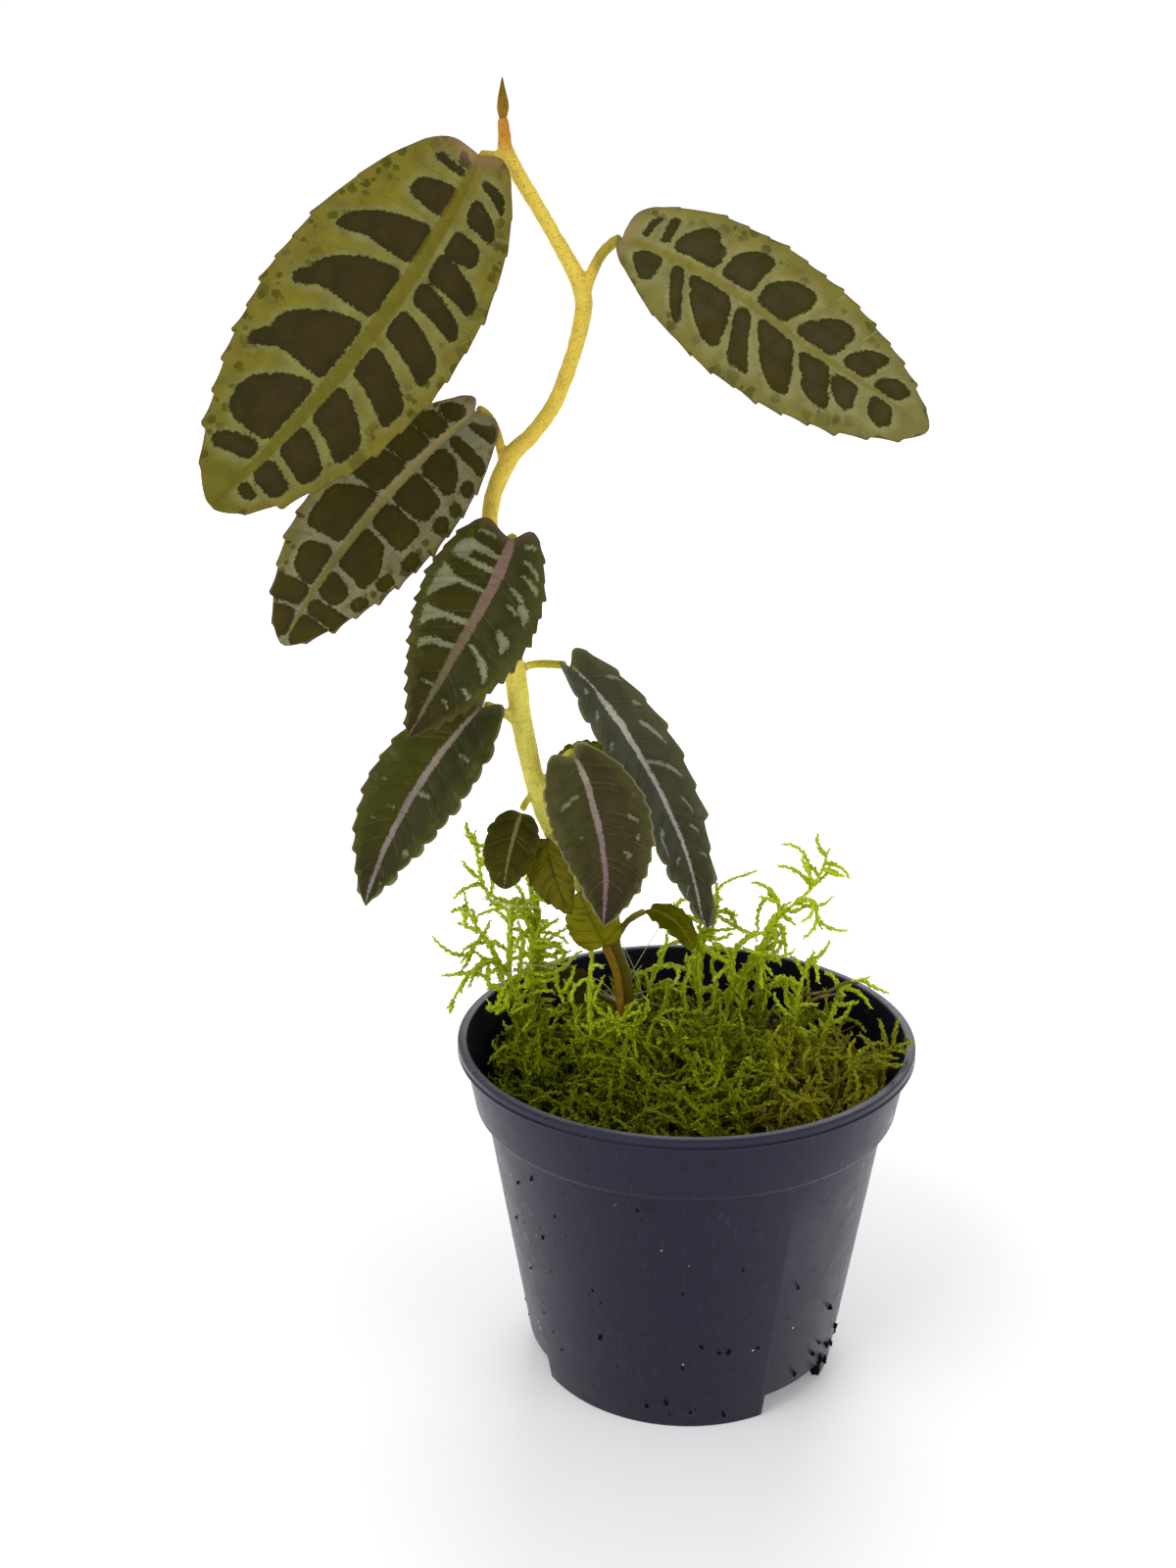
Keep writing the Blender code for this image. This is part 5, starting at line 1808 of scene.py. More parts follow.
@dataclass
class Studio:
    """A pale floor, soft lights, and the camera at the photograph's angle."""

    eye: tuple = (0.0, -305.4, 211.6)
    ahead: tuple = (-0.05944, 0.95580, -0.28795)
    upward: tuple = (-0.01273, 0.28771, 0.95763)
    lens: float = 38.58
    sky: float = 0.55
    glow_in_reflections: float = 1.5

    def build(self) -> None:
        """Sets up the floor, the lights, the camera and the world."""
        self.floor()
        self.light("key_light", (-350, -380, 620), (-20, 0, 130), 420, 2.0)
        self.light("fill_light", (480, -300, 330), (-10, 0, 100), 400, 0.8)
        self.light("rim_light", (60, 520, 420), (-20, 0, 120), 420, 1.3)
        self.camera()
        self.world()
        bpy.context.scene.view_settings.view_transform = "Standard"

    def spot(self, column: float, row: float, depth: float | None = None, level: float = 0.0) -> np.ndarray:
        """The place that the camera sees at a column and row of the picture.

        Args:
            column: The column, of 1200.
            row: The row, of 1600.
            depth: How far behind the pot's axis the place lies, in millimetres.
            level: Its height in millimetres, where no depth is given.

        Returns:
            The place in millimetres.
        """
        eye, ahead, upward = (np.array(p) for p in (self.eye, self.ahead, self.upward))
        focal = 1600 * self.lens / 36
        aim = ahead + np.cross(ahead, upward) * (column - 600) / focal - upward * (row - 800) / focal
        return eye + aim * ((level - eye[2]) / aim[2] if depth is None else (depth - eye[1]) / aim[1])

    def floor(self) -> None:
        """Lays a wide pale floor that turns to white away from the pot by a painted glow, stronger in
        reflections.
        """
        bm = bmesh.new()
        bmesh.ops.create_grid(bm, x_segments=8, y_segments=8, size=6.0)
        mesh = bpy.data.meshes.new("floor")
        bm.to_mesh(mesh)
        bm.free()
        floor = placed("floor", mesh)
        material = bpy.data.materials.new("pale_floor")
        material.use_nodes = True
        shader = material.node_tree.nodes["Principled BSDF"]
        shader.inputs["Base Color"].default_value = (0.93, 0.93, 0.94, 1)
        shader.inputs["Roughness"].default_value = 0.5
        shader.inputs["Specular IOR Level"].default_value = 0.25
        graph = Graph(material.node_tree)
        away = graph.get("ShaderNodeVectorMath", {0: graph.place()}, "Value", operation="LENGTH")
        # The floor's glow is painted light: weak near the pot, where its shadow stays, and strong farther
        # out.
        glow = graph.mix(graph.step(away, 45.0, 300.0), (0.12, 0.12, 0.12), (0.66, 0.66, 0.66))
        graph.feed(shader.inputs["Emission Color"], glow)
        # Painted reflection: the floor glows 2.8 times as strongly where it is seen in a reflection, to light
        # the pot's sides.
        glow_in_reflections = graph.get("ShaderNodeLightPath", None, "Is Glossy Ray") * 1.8 + 1.0
        graph.feed(shader.inputs["Emission Strength"], glow_in_reflections)
        mesh.materials.append(material)

    @staticmethod
    def light(name: str, spot: tuple, aim: tuple, size: float, power: float) -> None:
        """Hangs a soft square light.

        Args:
            name: Its name.
            spot: Where it hangs.
            aim: What it faces.
            size: Its side.
            power: Its power in watts.
        """
        lamp = bpy.data.lights.new(name, "AREA")
        lamp.size = size * MM
        lamp.energy = power
        holder = placed(name, lamp)
        place = Vector(spot) * MM
        holder.location = place
        holder.rotation_euler = (Vector(aim) * MM - place).to_track_quat("-Z", "Y").to_euler()

    def camera(self) -> None:
        """Places the camera as it stood for the photograph."""
        camera = placed("camera", bpy.data.cameras.new("camera"))
        ahead, upward = Vector(self.ahead).normalized(), Vector(self.upward).normalized()
        right = ahead.cross(upward).normalized()
        turn = Matrix((right, right.cross(ahead), -ahead)).transposed().to_4x4()
        camera.matrix_world = Matrix.Translation(Vector(self.eye) * MM) @ turn
        camera.data.lens = self.lens
        camera.data.sensor_width = 36
        camera.data.clip_start = 0.01
        bpy.context.scene.camera = camera

    def world(self) -> None:
        """A white surround that lights the plant from all sides."""
        world = bpy.data.worlds.new("surround")
        bpy.context.scene.world = world
        world.use_nodes = True
        graph = Graph(world.node_tree)
        back = world.node_tree.nodes["Background"]
        back.inputs[0].default_value = (1, 1, 1, 1)
        seen = graph.get("ShaderNodeLightPath", None, "Is Camera Ray") * (1.02 - self.sky) + self.sky
        glossy = graph.get("ShaderNodeLightPath", None, "Is Glossy Ray") * (self.glow_in_reflections - self.sky)
        graph.feed(back.inputs[1], seen + glossy)


DARK = {"halo_share": 0.0, "ragged": 1.2, "soft": 0.2, "outer_share": 0.8}
FINISHES = {finish.name: finish for finish in (
    LeafFinish("leaf_olive", "leaf_olive"),
    LeafFinish("leaf_olive_pale", "leaf_olive", right=(118, 112, 55), left=(114, 109, 59), end=(113, 108, 62),
               mark=(62, 55, 35), mark_out=(58, 52, 24), mark_edge=(50, 50, 24), halo=(130, 126, 84),
               halo_share=0.7, outer_share=0.3, rib=(117, 108, 45), rib_end=(112, 105, 52),
               vein=(136, 132, 92), foot=(136, 112, 90), fleck=(72, 74, 34)),
    LeafFinish("leaf_grey", "leaf_olive", right=(112, 108, 72), left=(108, 104, 62), end=(92, 87, 34),
               mark=(59, 53, 30), mark_out=(61, 56, 16), mark_out_from=0.5, mark_edge=(52, 50, 20),
               halo=(124, 123, 96), rib=(144, 134, 82), rib_end=(110, 103, 56), rib_share=0.95,
               vein=(136, 133, 106), margin=(118, 88, 88), margin_share=0.7, outer=(112, 107, 58),
               outer_share=0.5, foot=(120, 104, 78), fleck=(58, 56, 16), fleck_share=0.5),
    LeafFinish("leaf_silver", "leaf_green", right=(58, 57, 34), left=(56, 53, 24), end=(50, 45, 28),
               mark=(134, 134, 110), mark_out=(126, 126, 96), mark_edge=(120, 120, 92), halo=(44, 46, 26),
               halo_share=0.5, rib=(124, 99, 90), rib_end=(100, 92, 64), rib_share=0.95, vein=(84, 84, 54),
               vein_share=0.4, margin=(82, 68, 52), outer=(76, 74, 40), outer_share=0.8, foot=(112, 90, 82),
               under=(98, 78, 60), fleck=(80, 80, 24), fleck_share=0.35, ragged=1.6, soft=0.2),
    # The pale margins of the next three blades are painted rim light.
    LeafFinish("leaf_dark", "leaf_green", right=(57, 58, 36), left=(61, 61, 25), end=(50, 47, 30),
               mark=(134, 134, 114), mark_out=(126, 128, 100), mark_edge=(118, 120, 94), rib=(138, 128, 112),
               rib_end=(126, 116, 110), rib_share=0.95, vein=(84, 86, 50), vein_share=0.4,
               margin=(134, 128, 96), margin_share=0.45, outer=(74, 74, 36), foot=(112, 110, 70),
               under=(98, 80, 62), fleck=(80, 82, 46), fleck_share=0.25, **DARK),
    LeafFinish("leaf_front", "leaf_green", right=(59, 54, 36), left=(62, 60, 36), end=(52, 46, 32),
               mark=(130, 130, 112), mark_out=(122, 124, 98), mark_edge=(114, 114, 90), rib=(144, 132, 118),
               rib_end=(122, 100, 104), rib_share=0.95, vein=(84, 84, 56), vein_share=0.35,
               margin=(140, 134, 98), margin_share=0.6, outer=(76, 75, 42), foot=(112, 108, 70),
               under=(98, 80, 62), fleck=(80, 80, 50), fleck_share=0.2, **DARK),
    LeafFinish("leaf_cool", "leaf_green", right=(65, 65, 47), left=(67, 68, 55), end=(57, 55, 38),
               mark=(132, 134, 118), mark_out=(126, 128, 108), mark_edge=(118, 120, 104), rib=(159, 156, 143),
               rib_end=(150, 145, 136), rib_share=1.0, vein=(84, 86, 64), vein_share=0.35,
               margin=(118, 114, 92), outer=(82, 82, 58), foot=(104, 104, 60), under=(98, 84, 66),
               fleck=(80, 82, 58), fleck_share=0.2, **DARK),
    LeafFinish("leaf_young_dark", "leaf_young", right=(58, 55, 14), left=(64, 60, 10), end=(62, 59, 10),
               halo_share=0.0, rib=(130, 126, 82), rib_end=(118, 114, 66), rib_share=0.9, vein=(84, 80, 28),
               margin=(90, 88, 26), outer=(72, 70, 14), outer_share=0.8, foot=(120, 114, 50),
               under=(86, 80, 34), fleck_share=0.15),
    LeafFinish("leaf_arched", "leaf_young", 0.0, right=(88, 88, 14), left=(84, 84, 12), end=(92, 92, 14),
               halo_share=0.0, rib=(120, 118, 50), rib_end=(112, 110, 40), rib_share=0.9, vein=(104, 102, 30),
               margin=(96, 96, 26), outer_share=0.0, foot=(116, 112, 46), under=(86, 82, 30),
               fleck_share=0.15),
    LeafFinish("leaf_young", "leaf_young", right=(100, 93, 28), left=(93, 88, 18), end=(97, 91, 20),
               halo_share=0.0, rib=(58, 52, 10), rib_end=(60, 54, 8), rib_share=0.85, vein=(72, 66, 10),
               margin=(74, 68, 14), outer=(92, 87, 22), outer_share=0.8, foot=(108, 102, 30),
               under=(88, 82, 26), fleck_share=0.2),
    LeafFinish("leaf_yellow", "leaf_young", right=(122, 118, 28), left=(116, 113, 24), end=(124, 120, 30),
               halo_share=0.0, rib=(84, 78, 12), rib_end=(84, 78, 12), rib_share=0.7, vein=(88, 84, 12),
               margin=(84, 78, 16), outer_share=0.0, foot=(116, 110, 34), under=(96, 90, 28),
               fleck_share=0.2),
    LeafFinish("leaf_old", "leaf_young", right=(68, 60, 20), left=(62, 56, 18), end=(74, 64, 30),
               halo_share=0.0, rib=(54, 48, 14), rib_end=(54, 48, 14), rib_share=0.7, vein=(56, 50, 14),
               margin=(60, 50, 20), outer_share=0.0, foot=(80, 70, 30), under=(66, 56, 26), fleck_share=0.3),
    StemFinish("stem", "stem", 0.15),
    PlainFinish("old_petiole", "old_petiole", 0.1, paint(136, 94, 38), paint(120, 112, 20),
                paint(110, 62, 24), speck_share=0.2, relief=0.1),
    PlainFinish("bud", "bud", 0.1, paint(128, 98, 22), paint(98, 76, 18), paint(70, 48, 14), relief=0.1),
    PlainFinish("mix", "potting_mix", 0.06, paint(30, 20, 13), paint(66, 48, 32), paint(96, 76, 54),
                speck_share=0.12, size=1.4, relief=0.5, rough=0.85),
    PlasticFinish("pot", "pot_plastic", 0.18),
    PlainFinish("crumbs", "potting_mix", 0.06, paint(14, 10, 9), paint(32, 24, 20), paint(60, 48, 38),
                speck_share=0.1, rough=0.9),
    MossFinish("moss", "moss", 0.05),
    MossFinish("moss_litter", "moss_litter", 0.05),
    PlainFinish("litter", "moss_litter", 0.05, paint(88, 72, 38), paint(134, 120, 74), paint(44, 34, 24),
                speck_share=0.2, relief=0.15, rough=0.85),
    PlainFinish("thread", "moss_litter", 0.1, paint(196, 190, 156), paint(206, 198, 170),
                paint(150, 132, 90), speck_share=0.2, relief=0.03),
)}

HOOKS, SAW, LOBES = Teeth.HOOKS, Teeth.SAW, Teeth.LOBES
BLADES = (
    Blade("leaf_top_left", "leaf_olive", (-36.1, -6.5, 231.6), (-79.1, -32, 176.0), (0.1, -0.95, 0.25),
          34.8, (0.52, 0.63), 0.04, 0.06, -0.17, -0.03, 0.06, 0.10, 3.2, Margin(HOOKS, 13, 0.6),
          Margin(HOOKS, 13, 0.6), ((0, 0, 0.1), (0.1, 0, 0.08), (0.5, 0, 0.075), (1, 0, 0.08)), 0.26, 0,
          0.1, ((0.35, 0.80, 0.062, 0.075, 0.085, 0.120), (0.27, 0.74, 0.103, 0.162, 0.150, 0.184),
          (0.19, 0.62, 0.187, 0.250, 0.205, 0.245), (0.16, 0.82, 0.248, 0.312, 0.298, 0.335),
          (0.14, 0.80, 0.322, 0.372, 0.370, 0.402), (0.12, 0.81, 0.400, 0.468, 0.455, 0.515),
          (0.10, 0.83, 0.503, 0.578, 0.568, 0.628), (0.095, 0.80, 0.617, 0.710, 0.685, 0.745),
          (0.09, 0.79, 0.737, 0.810, 0.780, 0.828), (0.10, 0.77, 0.836, 0.888, 0.852, 0.892),
          (0.12, 0.60, 0.908, 0.930, 0.912, 0.930)), ((0.08, 0.45, 0.030, 0.042, 0.018, 0.026),
          (0.10, 0.62, 0.055, 0.067, 0.050, 0.062), (0.04, 0.50, 0.098, 0.174, 0.116, 0.160),
          (0.07, 0.50, 0.207, 0.304, 0.230, 0.302), (0.45, 0.77, 0.228, 0.300, 0.280, 0.325),
          (0.09, 0.50, 0.330, 0.457, 0.358, 0.460), (0.45, 0.70, 0.358, 0.460, 0.415, 0.470),
          (0.60, 0.78, 0.440, 0.475, 0.455, 0.500), (0.10, 0.50, 0.478, 0.632, 0.520, 0.635),
          (0.45, 0.70, 0.518, 0.635, 0.575, 0.640), (0.55, 0.82, 0.600, 0.640, 0.640, 0.685),
          (0.11, 0.50, 0.650, 0.815, 0.700, 0.828), (0.45, 0.71, 0.698, 0.828, 0.755, 0.822),
          (0.13, 0.80, 0.830, 0.875, 0.885, 0.908)), bleed=0.3),
    Blade("leaf_top_right", "leaf_olive_pale", (-12.6, -3, 218.3), (39.2, -18, 187.0), (0.1, -0.93, 0.32),
          25.6, (0.56, 0.70), 0.04, 0.02, -0.06, 0.30, 0.08, 0.12, 1.5, Margin(HOOKS, 15, 0.45),
          Margin(HOOKS, 12, 0.55), ((0, 0.05, 0.08), (0.2, 0.07, 0.06), (0.4, 0.03, 0.06),
          (0.6, -0.08, 0.05), (0.8, -0.03, 0.04), (1, 0, 0.02)), 0.22, 0, 0.1,
          ((0.20, 0.63, 0.055, 0.068, 0.066, 0.083), (0.18, 0.67, 0.107, 0.128, 0.108, 0.127),
          (0.13, 0.48, 0.147, 0.277, 0.160, 0.278), (0.38, 0.65, 0.165, 0.255, 0.198, 0.240),
          (0.11, 0.50, 0.300, 0.395, 0.308, 0.402), (0.40, 0.69, 0.308, 0.403, 0.355, 0.408),
          (0.06, 0.40, 0.423, 0.520, 0.425, 0.548), (0.35, 0.69, 0.427, 0.550, 0.500, 0.555),
          (0.08, 0.42, 0.553, 0.680, 0.585, 0.690), (0.37, 0.67, 0.585, 0.690, 0.635, 0.690),
          (0.08, 0.45, 0.705, 0.785, 0.725, 0.795), (0.40, 0.79, 0.725, 0.795, 0.795, 0.807),
          (0.08, 0.63, 0.805, 0.885, 0.855, 0.908)), ((0.10, 0.42, 0.075, 0.138, 0.053, 0.147),
          (0.37, 0.79, 0.053, 0.147, 0.100, 0.128), (0.11, 0.84, 0.172, 0.212, 0.245, 0.282),
          (0.10, 0.35, 0.227, 0.362, 0.255, 0.390), (0.30, 0.76, 0.250, 0.385, 0.345, 0.405),
          (0.12, 0.74, 0.389, 0.435, 0.450, 0.520), (0.47, 0.75, 0.430, 0.480, 0.438, 0.500),
          (0.08, 0.40, 0.457, 0.578, 0.510, 0.617), (0.35, 0.68, 0.500, 0.612, 0.580, 0.643),
          (0.08, 0.40, 0.600, 0.690, 0.650, 0.725), (0.35, 0.64, 0.640, 0.720, 0.700, 0.757),
          (0.12, 0.54, 0.705, 0.785, 0.770, 0.803), (0.10, 0.60, 0.823, 0.890, 0.865, 0.915)), bleed=0.25),
    Blade("leaf_upper_left", "leaf_grey", (-39.0, 1.5, 189.1), (-72.9, -14, 149.0), (0.1, -0.94, 0.32),
          24.6, (0.60, 0.71), 0.04, -0.039, 0.07, 0.14, 0.08, 0.12, 3.6, Margin(HOOKS, 11, 0.7),
          Margin(HOOKS, 11, 0.6), ((0, 0, 0.08), (0.2, -0.01, 0.07), (0.8, -0.01, 0.06), (1, 0, 0.03)),
          0.25, 0, 0.1, ((0.25, 0.95, 0.045, 0.060, 0.035, 0.070), (0.13, 0.95, 0.108, 0.142, 0.128, 0.165),
          (0.10, 0.50, 0.167, 0.268, 0.175, 0.277), (0.45, 0.67, 0.180, 0.277, 0.225, 0.278),
          (0.085, 0.63, 0.284, 0.405, 0.305, 0.395), (0.08, 0.66, 0.420, 0.508, 0.420, 0.525),
          (0.07, 0.50, 0.530, 0.680, 0.550, 0.690), (0.40, 0.67, 0.560, 0.690, 0.620, 0.705),
          (0.06, 0.55, 0.705, 0.795, 0.735, 0.800), (0.06, 1.05, 0.815, 0.860, 0.810, 0.870),
          (0.06, 1.05, 0.875, 0.970, 0.885, 0.985), (0.75, 0.95, 0.193, 0.240, 0.200, 0.240),
          (0.78, 0.95, 0.273, 0.310, 0.275, 0.315), (0.75, 0.92, 0.337, 0.393, 0.340, 0.390),
          (0.78, 0.95, 0.493, 0.560, 0.500, 0.560), (0.74, 0.92, 0.607, 0.667, 0.610, 0.670),
          (0.72, 0.95, 0.720, 0.773, 0.725, 0.775)), ((0.15, 0.80, 0.030, 0.090, 0.060, 0.110),
          (0.13, 0.85, 0.100, 0.170, 0.130, 0.195), (0.12, 0.80, 0.180, 0.280, 0.205, 0.295),
          (0.11, 0.80, 0.284, 0.413, 0.330, 0.430), (0.10, 0.75, 0.420, 0.620, 0.490, 0.635),
          (0.11, 0.62, 0.650, 0.787, 0.680, 0.765), (0.12, 1.05, 0.790, 0.860, 0.820, 0.885),
          (0.15, 1.05, 0.880, 0.970, 0.905, 0.985)), bleed=0.3),
    Blade("leaf_middle", "leaf_silver", (-31.8, -9, 167.5), (-49.3, -24, 134.6), (0.05, -0.92, 0.38), 22.4,
          (0.50, 0.95), 0.05, 0.037, -0.07, -0.15, 0.06, 0.16, 4.8, Margin(SAW, 15, 0.8),
          Margin(SAW, 14, 0.7), ((0, 0.08, 0.15), (0.1, 0.05, 0.13), (0.2, 0.03, 0.10), (0.4, -0.02, 0.08),
          (0.6, -0.06, 0.08), (0.8, -0.08, 0.08), (1, -0.05, 0.06)), 0.6, 9, 0.14,
          ((0.48, 0.76, 0.050, 0.058, 0.056, 0.068), (0.45, 0.80, 0.095, 0.106, 0.145, 0.165),
          (0.45, 0.82, 0.155, 0.165, 0.195, 0.225), (0.30, 0.62, 0.215, 0.228, 0.250, 0.275),
          (0.56, 0.80, 0.260, 0.300, 0.290, 0.355), (0.38, 0.60, 0.285, 0.298, 0.310, 0.330),
          (0.43, 0.71, 0.400, 0.430, 0.430, 0.500), (0.12, 0.48, 0.503, 0.520, 0.540, 0.562),
          (0.45, 0.80, 0.540, 0.575, 0.600, 0.640), (0.55, 0.83, 0.688, 0.700, 0.705, 0.725),
          (0.38, 0.64, 0.772, 0.780, 0.795, 0.802)), ((0.45, 0.80, 0.035, 0.045, 0.050, 0.060),
          (0.05, 0.80, 0.092, 0.116, 0.095, 0.130), (0.58, 0.86, 0.095, 0.170, 0.105, 0.180),
          (0.05, 0.80, 0.162, 0.182, 0.160, 0.185), (0.05, 0.60, 0.262, 0.284, 0.262, 0.284),
          (0.48, 0.84, 0.262, 0.290, 0.222, 0.415), (0.05, 0.60, 0.418, 0.446, 0.430, 0.460),
          (0.48, 0.80, 0.430, 0.465, 0.430, 0.545), (0.05, 0.60, 0.540, 0.566, 0.560, 0.590),
          (0.48, 0.72, 0.560, 0.590, 0.585, 0.635), (0.10, 0.42, 0.735, 0.745, 0.745, 0.752)), 0.8),
    Blade("leaf_lower_right", "leaf_cool", (-22.1, -3, 143.2), (4.2, -8, 93.6), (0.42, -0.85, 0.32), 14.4,
          (0.64, 0.86), 0.05, 0.055, 0.07, 0.28, 0.18, 0.10, 4.2, Margin(SAW, 9, 0.95),
          Margin(LOBES, 12, 0.8), ((0, 0.12, 0.03), (0.1, 0.11, 0.03), (0.2, 0.06, 0.09), (0.3, 0.03, 0.08),
          (0.4, 0.01, 0.06), (0.6, 0, 0.06), (0.7, -0.01, 0.06), (0.8, -0.06, 0.06), (0.87, -0.15, 0.08),
          (0.92, -0.35, 0.07), (1, -0.8, 0.05)), 0.6, 11, 0.12, ((0.54, 0.80, 0.115, 0.130, 0.145, 0.167),
          (0.60, 0.74, 0.215, 0.235, 0.232, 0.250), (0.41, 0.62, 0.272, 0.295, 0.310, 0.345),
          (0.57, 0.72, 0.310, 0.340, 0.356, 0.392), (0.00, 0.45, 0.388, 0.400, 0.430, 0.448),
          (0.42, 0.72, 0.430, 0.450, 0.490, 0.512), (0.42, 0.63, 0.548, 0.558, 0.595, 0.618),
          (0.42, 0.66, 0.645, 0.655, 0.675, 0.690), (0.52, 0.84, 0.743, 0.750, 0.765, 0.777)),
          ((0.26, 0.60, 0.088, 0.105, 0.105, 0.120), (0.46, 0.72, 0.172, 0.185, 0.190, 0.207),
          (0.60, 0.78, 0.280, 0.290, 0.298, 0.310), (0.45, 0.62, 0.610, 0.635, 0.625, 0.645),
          (0.60, 0.70, 0.625, 0.680, 0.650, 0.730), (0.33, 0.53, 0.727, 0.737, 0.745, 0.757),
          (0.24, 0.65, 0.828, 0.836, 0.855, 0.865)), 0.5),
    Blade("leaf_lower_left", "leaf_dark", (-38.2, -7, 136.4), (-59.3, -18, 100.8), (-0.34, -0.88, 0.34),
          19.4, (0.65, 0.96), 0.05, -0.041, -0.03, 0.20, 0.18, 0.12, 5.0, Margin(LOBES, 11, 1.15),
          Margin(SAW, 12, 0.8), ((0, 0, 0.10), (0.1, 0, 0.08), (0.5, 0, 0.07), (0.8, -0.03, 0.075),
          (1, -0.05, 0.12)), 0.65, 11, 0.14, ((0.35, 0.66, 0.218, 0.228, 0.225, 0.240),
          (0.06, 0.40, 0.440, 0.465, 0.440, 0.450), (0.62, 0.82, 0.690, 0.720, 0.710, 0.730),
          (0.52, 0.66, 0.870, 0.885, 0.875, 0.890)), ((0.20, 0.34, 0.560, 0.566, 0.568, 0.574),
          (0.42, 0.60, 0.635, 0.641, 0.640, 0.646), (0.60, 0.72, 0.476, 0.482, 0.482, 0.487)), 0.5),
    Blade("leaf_front", "leaf_front", (-20.8, -13, 128.8), (-14.9, -23, 99.6), (-0.05, -0.93, 0.36), 18.4,
          (0.60, 0.92), 0.05, 0.09, 0.02, -0.20, 0.08, 0.20, 4.0, Margin(SAW, 12, 0.6),
          Margin(LOBES, 11, 0.7), ((0, 0.05, 0.10), (0.1, 0.03, 0.09), (0.2, 0, 0.07), (0.3, -0.04, 0.06),
          (0.5, -0.04, 0.06), (0.6, -0.05, 0.055), (0.7, -0.03, 0.07), (0.8, -0.05, 0.09),
          (0.9, -0.1, 0.11), (1, -0.15, 0.12)), 0.6, 10, 0.14, ((0.60, 0.77, 0.402, 0.420, 0.435, 0.460),
          (0.70, 0.75, 0.510, 0.535, 0.510, 0.535), (0.44, 0.61, 0.582, 0.597, 0.605, 0.620),
          (0.51, 0.57, 0.610, 0.630, 0.610, 0.630)), ((0.24, 0.47, 0.217, 0.236, 0.228, 0.245),
          (0.45, 0.65, 0.238, 0.265, 0.262, 0.290), (0.38, 0.43, 0.462, 0.482, 0.462, 0.482)), 0.5),
    Blade("leaf_behind", "leaf_yellow", (-24.6, -2.6, 122.5), (-13.6, -1.2, 125.2), (0.0, -0.90, 0.40), 9.4,
          (0.42, 0.55), 0.04, 0, 0, 0, 0.10, 0.10, 0.8, Margin(LOBES, 6, 0.5), Margin(LOBES, 6, 0.4),
          puff=0.3),
    Blade("leaf_small_left", "leaf_young_dark", (-31.3, -5, 115.3), (-34.4, -9.5, 101.5),
          (-0.1, -0.95, 0.28), 10.2, (0.42, 0.61), 0.05, -0.02, -0.03, 0.04, 0.10, 0.14, 0.4,
          Margin(LOBES, 6, 0.4), Margin(LOBES, 6, 0.4), ((0, 0, 0.12), (0.5, 0, 0.055), (1, 0, 0.04)), 0.3,
          5, 0.2),
    Blade("leaf_small_middle", "leaf_young", (-26.6, -5, 110.3), (-21.7, -9, 96.4), (-0.1, -0.93, 0.30),
          8.5, (0.67, 0.92), 0.05, -0.045, -0.22, -0.28, 0.06, 0.12, 0.5, Margin(LOBES, 6, 0.3),
          Margin(SAW, 10, 0.4), ((0, 0, 0.05), (1, 0, 0.05)), 0.2, 7, 0.2),
    Blade("leaf_basal_left", "leaf_yellow", (-15.8, -1.6, 87.2), (-20.6, -3.8, 99.0), (-0.1, -0.96, 0.20),
          10.5, (0.34, 0.50), 0.05, 0, 0, 0, 0.06, 0.10, 0.5, Margin(HOOKS, 7, 0.4), Margin(SAW, 7, 0.5),
          ((0, 0, 0.05), (1, 0, 0.05)), 0.2, 6, 0.2),
    Blade("leaf_basal_right", "leaf_arched", (-7.2, 3.0, 93.4), (1.6, -1.0, 86.6), (0.20, -0.25, 0.94), 8.0,
          (0.42, 0.60), 0.16, 0, 0, 0, 0.14, 0.10, 0.6, Margin(SAW, 5, 0.6), Margin(SAW, 5, 0.6),
          ((0, 0, 0.1), (1, 0, 0.06)), 0.25, 5, 0.2),
    Blade("leaf_old_low", "leaf_old", (-18.6, 9.0, 72.8), (-27.4, 10.5, 74.6), (0.05, -0.80, 0.60), 7.4,
          (0.42, 0.50), 0.12, 0, 0, 0, 0.10, 0.10, 0.5, Margin(SAW, 5, 0.5), Margin(SAW, 5, 0.5),
          ((0, 0, 0.06), (1, 0, 0.05)), 0.2, 5, 0.2),
)

LEFT_LEADERS = (
    ((-31.0, 12, 56), (-31.4, 10, 76), (-31.6, 9, 87), (-35.0, 8, 92), (-40.2, 8, 95), (-41.8, 6, 107.5)),
    ((-32.5, 11, 57), (-34.4, 9, 72), (-40.0, 8, 83.5), (-43.1, 7, 89.5), (-44.2, 6, 95)),
    ((-30.0, 14, 58), (-30.4, 13, 74), (-30.2, 11, 86), (-31.6, 8, 98)),
    ((-34.0, 12, 58), (-35.8, 9.5, 77), (-35.6, 9, 85), (-35.1, 7, 91.5)),
    ((-36.6, 8, 77.0), (-39.5, 6, 80.5), (-43.0, 4, 78.5), (-47.3, 2, 72.0)),
    ((-41.6, 7.5, 86.0), (-45.5, 6, 88.5)),
    ((-41.0, 7.5, 85.0), (-44.8, 5, 80.5)),
)
